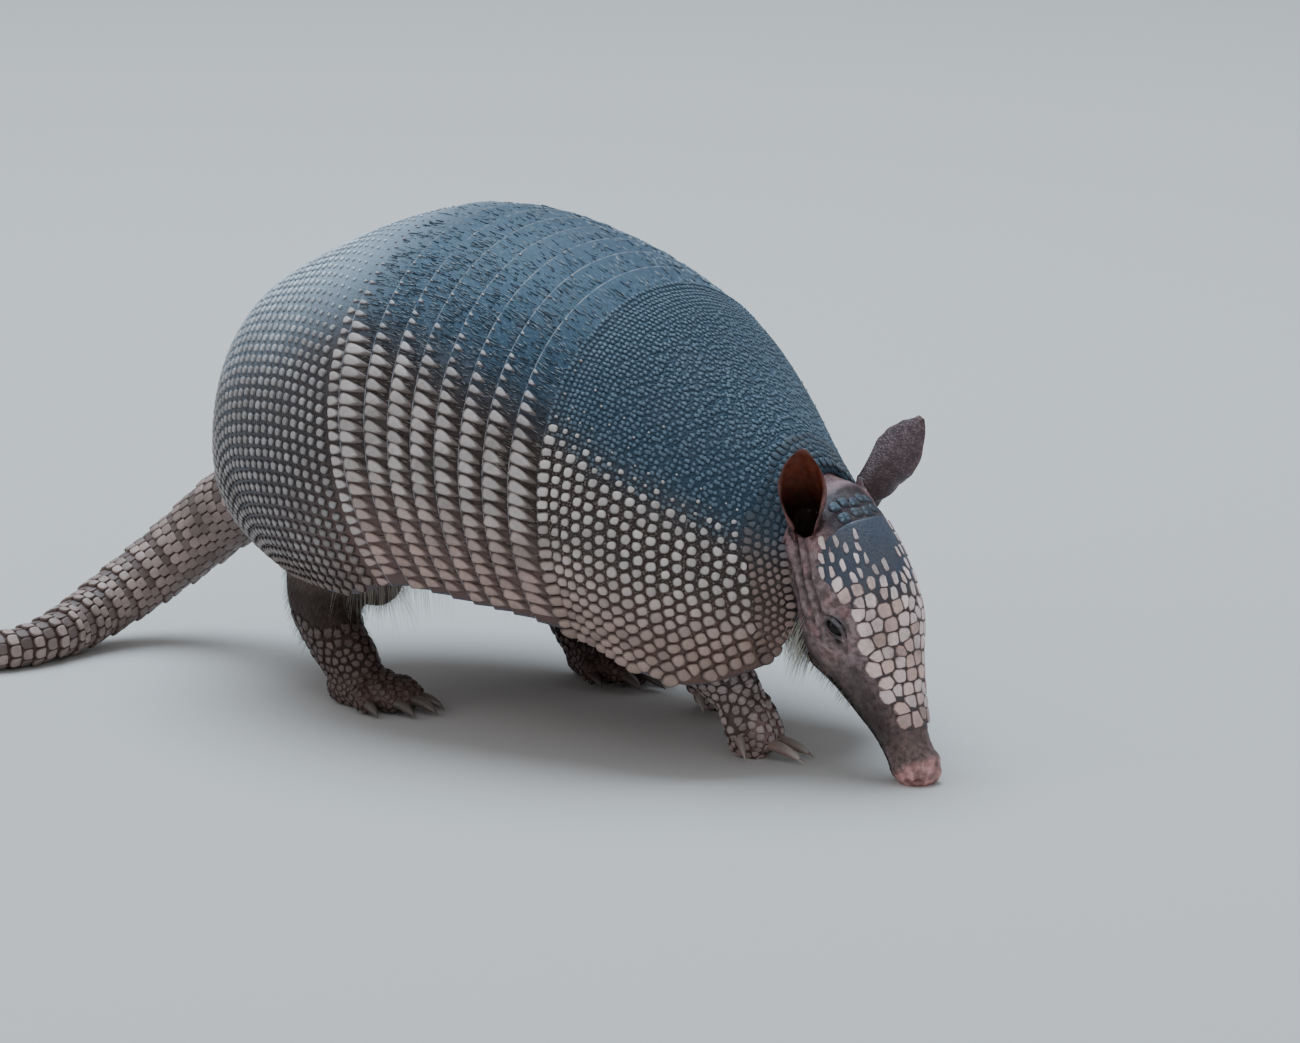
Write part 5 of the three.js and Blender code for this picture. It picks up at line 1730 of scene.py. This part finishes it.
def tail_frame(run):
    """Centre line, tangent, side and up axes, and half thickness at distances down the tail."""
    f = np.interp(run, tail_run, tail_share)
    here = through_points(tail_rows[:, :3], f)
    tangent = unit(through_points(tail_rows[:, :3], np.clip(f + 0.002, 0, 1))
                   - through_points(tail_rows[:, :3], np.clip(f - 0.002, 0, 1)))
    up = unit(np.array([0, 0, 1.0]) - tangent[:, 2:] * tangent)
    return here, tangent, np.cross(up, tangent), up, size_at(tail_table, 4, f * (len(tail_rows) - 1))


def tail_scales(run, angle, lift):
    here, tangent, side, up, girth = tail_frame(run)
    outward = np.sin(angle)[:, None] * side + np.cos(angle)[:, None] * up
    place = (here + outward * (girth + lift)[:, None] + SHELL_PLACE) * MM
    return place, -tangent, np.cross(outward, -tangent), outward


SCALE_SIDE = [(-0.92, 0.42), (-0.72, 0.80), (-0.35, 0.97), (0.25, 1.0), (0.75, 0.95), (1.0, 0.78),
              (1.0, 0.3)]
SCALE_TOOTH = np.array([(-1.0, 0.0), *SCALE_SIDE, *[(a, -b) for a, b in SCALE_SIDE[::-1]]])
RINGS_FROM = 8.0  # mm down the tail
TAIL_PITCH = 4.5  # mm from scale to scale round the tail


def girth_at(run):
    return float(tail_frame(np.array([run]))[4][0])


def tail_marks(dark, tone):
    return np.column_stack([dark, 0 * tone, tone, 0 * tone])


def tail_roots(made):
    return np.column_stack([0.05 + made[:, 0] * 0.0022, 0.1 + made[:, 1] / (2 * np.pi) * 0.8])


made = []  # each scale: run, angle, half length, half width, place in its ring, girth
run = RINGS_FROM
for ring, length in enumerate(TAIL_RING_LENGTHS):
    girth = girth_at(run + length / 2)
    rows_here = 3 if ring < 10 else 2
    for row in range(rows_here):
        part, share, last = (row + 0.56) / rows_here, 1.02 / rows_here, row / (rows_here - 1)
        count = max(int(round(2 * np.pi * girth / TAIL_PITCH * (1.0 if girth > 7 else 1.15))), 8)
        turn = (np.arange(count) + 0.5 * (row % 2) + 0.15 * ring) / count * 2 * np.pi
        for angle in turn:
            made.append((run + length * part, angle, length * share / 2, np.pi * girth / count * 0.94,
                         last, girth))
    run += length
made = np.array(made)
made[:, 0] += CHANCE.normal(0, 0.12, len(made))
last = made[:, 4]
centre, forward, across, outward = tail_scales(made[:, 0], made[:, 1], -0.35 + 0.9 * last - 0.4 * last ** 2)
keep = centre[:, 2] > 0.0011  # metres; the tail rests on the floor without scales beneath
tilt = 0.03 + 0.05 * last
outward = unit(outward + tilt[:, None] * forward)
forward = np.cross(across, outward)
forward *= np.sign(np.sum(forward * -tail_frame(made[:, 0])[1], -1, keepdims=True))
outlines = SCALE_TOOTH[None] * made[:, None, 2:4] * MM
outlines = outlines * CHANCE.uniform(0.93, 1.03, (len(made), 1, 2))
tone = CHANCE.uniform(0, 1, len(made))
# Painted shade: the underside, towards the floor, is darker.
under = smooth(-np.cos(made[:, 1]), -0.2, 0.8)
dusky = (1 - last) ** 2 * (0.20 + 0.60 * smooth(np.cos(made[:, 1] - 0.5), 0.1, 0.8))
marks = tail_marks(np.maximum(0.55 * under, dusky), tone)
TAIL_SCALE_RINGS = [(0.45, 1.0, 0.0), (0.78, 0.92, 0.0), (0.94, 0.66, 0.0), (1.0, 0.2, 0.0),
                    (1.0, 0.0, -0.0009)]
tail_piece = lay_studs(
    "tail_ring_scales", "tail_rings", pick(keep, centre, forward, across, outward), outlines[keep],
    ((0.42 + 0.30 * last) * np.clip(made[:, 5] / 11, 0.45, 1) * MM)[keep], TAIL_SCALE_RINGS,
    *pick(keep, marks, tail_roots(made)))
tail_horn = scute_horn(
    "tail_scale_horn", (0.40, 0.295, 0.265), (0.38, 0.27, 0.24), (0.085, 0.062, 0.057),
    (0.15, 0.105, 0.092), 0.6, 0.70, (1.0, 0.9, 0.9))
tail_piece.data.materials.append(tail_horn)

made = []
while run < tail_run[-1] - 3:
    girth = girth_at(run)
    step = np.clip(girth * 0.85, 1.9, 4.2)
    count = max(int(round(2 * np.pi * girth / (step * 0.95))), 6)
    for angle in (np.arange(count) + 0.5 * (len(made) % 2)) / count * 2 * np.pi:
        made.append((run, angle, step * 0.56, np.pi * girth / count * 0.94, 1.0, girth))
    run += step
made = np.array(made)
centre, forward, across, outward = tail_scales(made[:, 0], made[:, 1], 0 * made[:, 0] - 0.1)
keep = centre[:, 2] > 0.0008
outlines = SCALE_TOOTH[None] * made[:, None, 2:4] * MM
tone = CHANCE.uniform(0, 1, len(made))
# Darker all over, and more so towards the underside: painted shade.
marks = tail_marks(0.3 + 0.4 * smooth(-np.cos(made[:, 1]), -0.2, 0.8), tone)
tip_piece = lay_studs(
    "tail_tip_scales", "tail_rings", pick(keep, centre, forward, across, outward), outlines[keep],
    (np.clip(made[:, 5] * 0.09, 0.15, 0.5) * MM)[keep], SCALE_RINGS,
    *pick(keep, marks, tail_roots(made)))
tip_piece.data.materials.append(tail_horn)

# ----------------------------------------------------------
# Head shield: a thin plate over forehead and snout, tiled with many-sided scutes that meet at
# fine dark joints. The forehead is slate with small long pale spots; big dark plates and small
# brown ones lie between the ears.

HEAD_SHIELD_REACH = np.array([[2, 26], [5, 52], [10, 70], [16, 71], [22, 63], [28, 53], [36, 48], [46, 51],
                              [60, 53], [70, 46], [79, 30]])
HEAD_SHIELD_OUT, HEAD_SHIELD_THICK = 0.45, 1.0
HEAD_SHIELD_FROM, HEAD_SHIELD_TO = 2.0, 79.0
HEAD_SCUTE_STEP = 4.9  # mm along the head from row to row
HEAD_SCUTE_PITCH = 4.75


def shield_along(u):
    return HEAD_SHIELD_FROM + (HEAD_SHIELD_TO - HEAD_SHIELD_FROM) * u


def shield_place(u, v, w):
    along = shield_along(u)
    reach = size_at(HEAD_SHIELD_REACH, 1, along)
    edge = np.maximum(1 - np.abs(2 * v - 1) ** 10, 0) ** 0.5
    out = HEAD_SHIELD_OUT * (0.2 + 0.8 * edge) - HEAD_SHIELD_THICK * (1 - w)
    return head_point(along, reach * (2 * v - 1), out)


def head_ground():
    """The head shield's bed: slate on the forehead, dark brown joints further down."""
    material, n, shader = new_material("head_shield_ground")
    forehead, *_ = n.masks()
    cells = n.cells(n.on_body(), 620.0)
    base = n.mix(forehead, (0.060, 0.042, 0.041), (0.046, 0.060, 0.090))
    line = n.minus_from_one(n.ramp(cells, 0.0, 0.16))
    base = n.mix(n.times(line, n.times(forehead, 0.22)), base, (0.13, 0.15, 0.19))
    color, rough, _ = n.wear(base, (0.13, 0.115, 0.12), 0.3)
    n.put(shader.inputs["Base Color"], color)
    n.put(shader.inputs["Roughness"], rough)
    n.bump(shader, n.ramp(cells, 0.0, 0.3), 0.3, 0.0002)
    return material


mesh, u, v, w = sheet_between("head_shield_plate", 90, 90, shield_place)
write_marks(mesh, np.column_stack([fall(shield_along(u), 22, 37), 0 * u, 0 * u, 0 * u]))
head_plate = add_piece("head_shield_plate", mesh, ["head_shield"])
head_plate.data.materials.append(head_ground())

head_chance = np.random.default_rng(21)


def head_rows(first, last, step, pitch, reach_of, wander):
    """Places on the head in rows across it: mm along it and degrees round from the middle."""
    found = []
    for row, along in enumerate(np.arange(first, last, step)):
        reach = reach_of(along)
        girth = np.radians(1.0) * (size_at(HEAD_SECTIONS, 1, along) + size_at(HEAD_SECTIONS, 2, along)) / 2
        turn = pitch * np.interp(along, [8, 22, 60, 80], [0.86, 1.0, 0.96, 0.80]) / girth
        count = max(int(round(2 * reach / turn)) - row % 2, 1)
        half = reach - turn * (0.42 + row % 2 / 2)
        found += [(along, place) for place in np.linspace(-half, half, count)]
    found = np.array(found)
    size = np.array([step, 18.0])[None] * wander
    return found + head_chance.uniform(-0.5, 0.5, found.shape) * size


def head_seats(along, around, out):
    centre = head_point(along, around, out)
    forward = unit(head_point(along + 0.5, around, out) - head_point(along - 0.5, around, out))
    turn = head_point(along, around + 1, out) - head_point(along, around - 1, out)
    outward = outward_of(centre, forward, turn, head_point(along, around, out + 5))
    return centre, forward, np.cross(outward, forward), outward


def head_roots(along, around):
    return np.column_stack([0.1 + along * 0.008, 0.5 + around * 0.004])


rows = head_rows(6.4, HEAD_SHIELD_TO - 1, HEAD_SCUTE_STEP, HEAD_SCUTE_PITCH,
                 lambda a: size_at(HEAD_SHIELD_REACH, 1, a) + 3, 0.45)
along, around = rows[:, 0], rows[:, 1]
seats = head_seats(along, around, HEAD_SHIELD_OUT - 0.1)
cells = cell_outlines(*seats[:3], 14, 0.0040, 14.0)
tone = head_chance.uniform(0, 1, len(along))
forehead = fall(along + 7 * (tone - 0.5) + 0.06 * np.abs(around), 20, 38)
outlines = cells * (0.975 - 0.42 * forehead)[:, None, None]
outlines[..., 0] *= (1 + 0.55 * forehead)[:, None]
outlines[..., 1] *= (1 - 0.30 * forehead)[:, None]
shown = ~((forehead > 0.8) & (np.abs(around + 4) < 24) & (along < 16)) & (along > 6)
shown &= ~((forehead > 0.8) & (head_chance.uniform(0, 1, len(tone)) < 0.12))
tan = 0.6 * smooth(along, 30, 60) * smooth(tone, 0.2, 0.8) + (head_chance.uniform(0, 1, len(tone)) < 0.28)
marks = np.column_stack([0.5 * forehead, 0 * tone, tone, np.minimum(tan, 1)])
HEAD_RINGS = [(0.55, 1.0, 0.0), (0.84, 0.93, 0.0), (0.965, 0.66, 0.0), (1.0, 0.15, 0.0),
              (1.0, 0.0, -0.0004)]
head_scutes = lay_studs(
    "head_shield_scutes", "head_shield", pick(shown, *seats), roughened(outlines[shown], 0.012),
    ((0.42 + 0.14 * tone) * MM)[shown], HEAD_RINGS, *pick(shown, marks, head_roots(along, around)))
head_scutes.data.materials.append(scute_horn(
    "head_scute_horn", (0.86, 0.68, 0.66), (0.70, 0.475, 0.42), (0.74, 0.63, 0.62),
    (0.13, 0.080, 0.075), 0.55, 0.60))

# Plates between the ears: the middle ones large, round and dark.
rows = head_rows(-5.5, 2.0, 4.9, 5.4, lambda a: 40 + 0 * a, 0.30)
along, around = rows[:, 0], rows[:, 1]
seats = head_seats(along, around, 0.1)
tone = head_chance.uniform(0, 1, len(along))
middle = fall(np.abs(around), 30, 55)
outlines = cell_outlines(*seats[:3], 14, 0.0029, 6.0, 6) * (0.72 + 0.22 * middle)[:, None, None]
marks = np.column_stack([middle, 0 * tone, tone, 0 * tone])
crown_scutes = lay_studs(
    "crown_scutes", "head_shield", seats, roughened(outlines, 0.03), (0.4 + 0.3 * middle) * MM,
    STUD_RINGS, marks, head_roots(along, around))
crown_scutes.data.materials.append(scute_horn(
    "crown_scute_horn", (0.26, 0.19, 0.175), (0.26, 0.19, 0.175), (0.040, 0.043, 0.054),
    (0.045, 0.034, 0.034)))

# ----------------------------------------------------------
# Bristles: sparse stiff hairs on throat, jaw, belly and thighs, each a thin tapered rod of
# horn, rooted in the hide and drooping towards the floor.

HAIR_STEPS = 5


def hair_template():
    """A three-sided rod, one unit long, that ends in a point: its faces and places."""
    shape = bmesh.new()
    bmesh.ops.create_circle(shape, cap_ends=True, segments=3, radius=1)
    for step in range(HAIR_STEPS):
        border = [e for e in shape.edges if e.is_boundary]
        grown = bmesh.ops.extrude_edge_only(shape, edges=border)
        ring = [item for item in grown["geom"] if isinstance(item, bmesh.types.BMVert)]
        bmesh.ops.translate(shape, vec=(0, 0, 1 / HAIR_STEPS), verts=ring)
    bmesh.ops.pointmerge(shape, verts=ring, merge_co=(0, 0, 1))
    bmesh.ops.recalc_face_normals(shape, faces=shape.faces[:])
    places = np.array([v.co[:] for v in shape.verts])
    faces = [[v.index for v in face.verts] for face in shape.faces]
    shape.free()
    return faces, places


def lay_hairs(name, index, ways, lengths, girth, droop, tone):
    """One hair per chosen vertex of the hide; lengths and girth are in mm."""
    faces, rod = hair_template()
    ways = unit(ways)
    side = unit(np.cross(ways, unit(hair_chance.normal(0, 1, ways.shape))))
    other = np.cross(ways, side)
    up, taper = rod[None, :, 2:], (1 - 0.8 * rod[None, :, 2:])
    places = (hide_places[index][:, None] - ways[:, None] * 0.0012
              + ways[:, None] * up * (lengths * MM)[:, None, None]
              + np.array([0, 0, -1.0]) * up ** 2 * (lengths * droop * MM)[:, None, None]
              + (side[:, None] * rod[None, :, :1] + other[:, None] * rod[None, :, 1:2]) * taper
              * (girth * MM))
    places[..., 2] = np.maximum(places[..., 2], FLOOR_GAP)
    size = rod.shape[0]
    mesh = bpy.data.meshes.new(name)
    mesh.from_pydata(places.reshape(-1, 3), [],
                     [[i * size + k for k in face] for i in range(len(index)) for face in faces])
    marks = np.stack(np.broadcast_arrays(0.0, rod[None, :, 2], tone[:, None], 0.0), -1)
    write_marks(mesh, marks.reshape(-1, 4))
    roots = np.stack([0.5 + x[index] * 0.0011,
                      0.5 + np.arctan2(y[index], 70 - z[index]) * 0.14], -1)
    write_map(mesh, "OFBake", (roots[:, None] + rod[None, :, :2] * BAKE_PATCH * taper[0]).reshape(-1, 2))
    return add_piece(name, mesh)


def hair_horn(name, root_color, tip_color):
    material, n, shader = new_material(name)
    _, up, tone, _ = n.masks()
    shade = n.scaled(tone, 0.5, 0.7)
    hue = n.add("ShaderNodeCombineColor", Red=shade, Green=shade,
                Blue=n.scaled(n.noise(n.on_body(), 300.0), 0.2, 0.8))
    n.put(shader.inputs["Base Color"], n.mix(1.0, n.mix(up, root_color, tip_color), hue.outputs[0],
                                             "MULTIPLY"))
    shader.inputs["Roughness"].default_value = 0.5
    return material


hair_chance = np.random.default_rng(77)
hide_along, hide_around, hide_out = head_coordinates(hide_places)
low_side = smooth(-hide_normals[:, 2], -0.35, 0.4)


def hair_spots(choice, count):
    spots = np.nonzero(choice)[0]
    return hair_chance.choice(spots, min(count, len(spots)), replace=False)


pale_hair = hair_horn("pale_hair", (0.40, 0.375, 0.35), (0.76, 0.74, 0.72))
grey_hair = hair_horn("grey_hair", (0.17, 0.15, 0.12), (0.36, 0.345, 0.29))
dark_hair = hair_horn("dark_hair", (0.045, 0.034, 0.030), (0.19, 0.155, 0.14))
x, y, z = (hide_places / MM - SHELL_PLACE).T
HAIR_FALL = -0.9  # how strongly hairs point down, against 1 for straight out of the hide
HAIR_STRAY = 0.16
HAIRS = [
    # name, where, count, shortest, longest, girth, lean forwards, droop, material
    ("throat_hairs", (x > 72) & (x < 94) & (z > 42) & (z < 60) & (hide_along > 20)
     & (hide_along < 42) & (np.abs(hide_around) > 100), 620, 6, 12, 0.10, 0.1, 0.5, pale_hair),
    ("jaw_hairs", (hide_along > 12) & (hide_along < 62) & (np.abs(hide_around) > 112)
     & (hide_out < 1.4), 900, 3.0, 6.0, 0.075, -0.35, 0.25, grey_hair),
    ("belly_hairs", (x > -92) & (x < -66) & (y < -26) & (z > 34) & (z < 60) & (low_side > 0.3),
     300, 4, 15, 0.05, 0.10, 0.5, pale_hair),
    ("breast_hairs", (x >= -42) & (x < 75) & (z > 22) & (z < 60) & (low_side > 0.7),
     380, 5, 10, 0.06, -0.3, 0.4, pale_hair),
    ("thigh_hairs", (x > TAIL_START) & (x < -60) & (z > 22) & (z < 62) & (np.abs(y) > 12),
     5200, 2.5, 5.5, 0.075, 0.0, 0.35, dark_hair),
]
for name, where, count, shortest, longest, girth, lean, droop, material in HAIRS:
    index = hair_spots(where, count)
    tone = hair_chance.uniform(0, 1, len(index))
    stray = hair_chance.normal(0, HAIR_STRAY, (len(index), 3))
    ways = unit(hide_normals[index] + np.array([lean, 0, HAIR_FALL]) + stray)
    lengths = shortest + (longest - shortest) * tone ** 1.4
    hairs = lay_hairs(name, index, ways, lengths, girth, droop, tone)
    hairs.data.materials.append(material)

# ----------------------------------------------------------
# Bounds of the finished model: every shown object but the floor.

low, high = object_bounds()
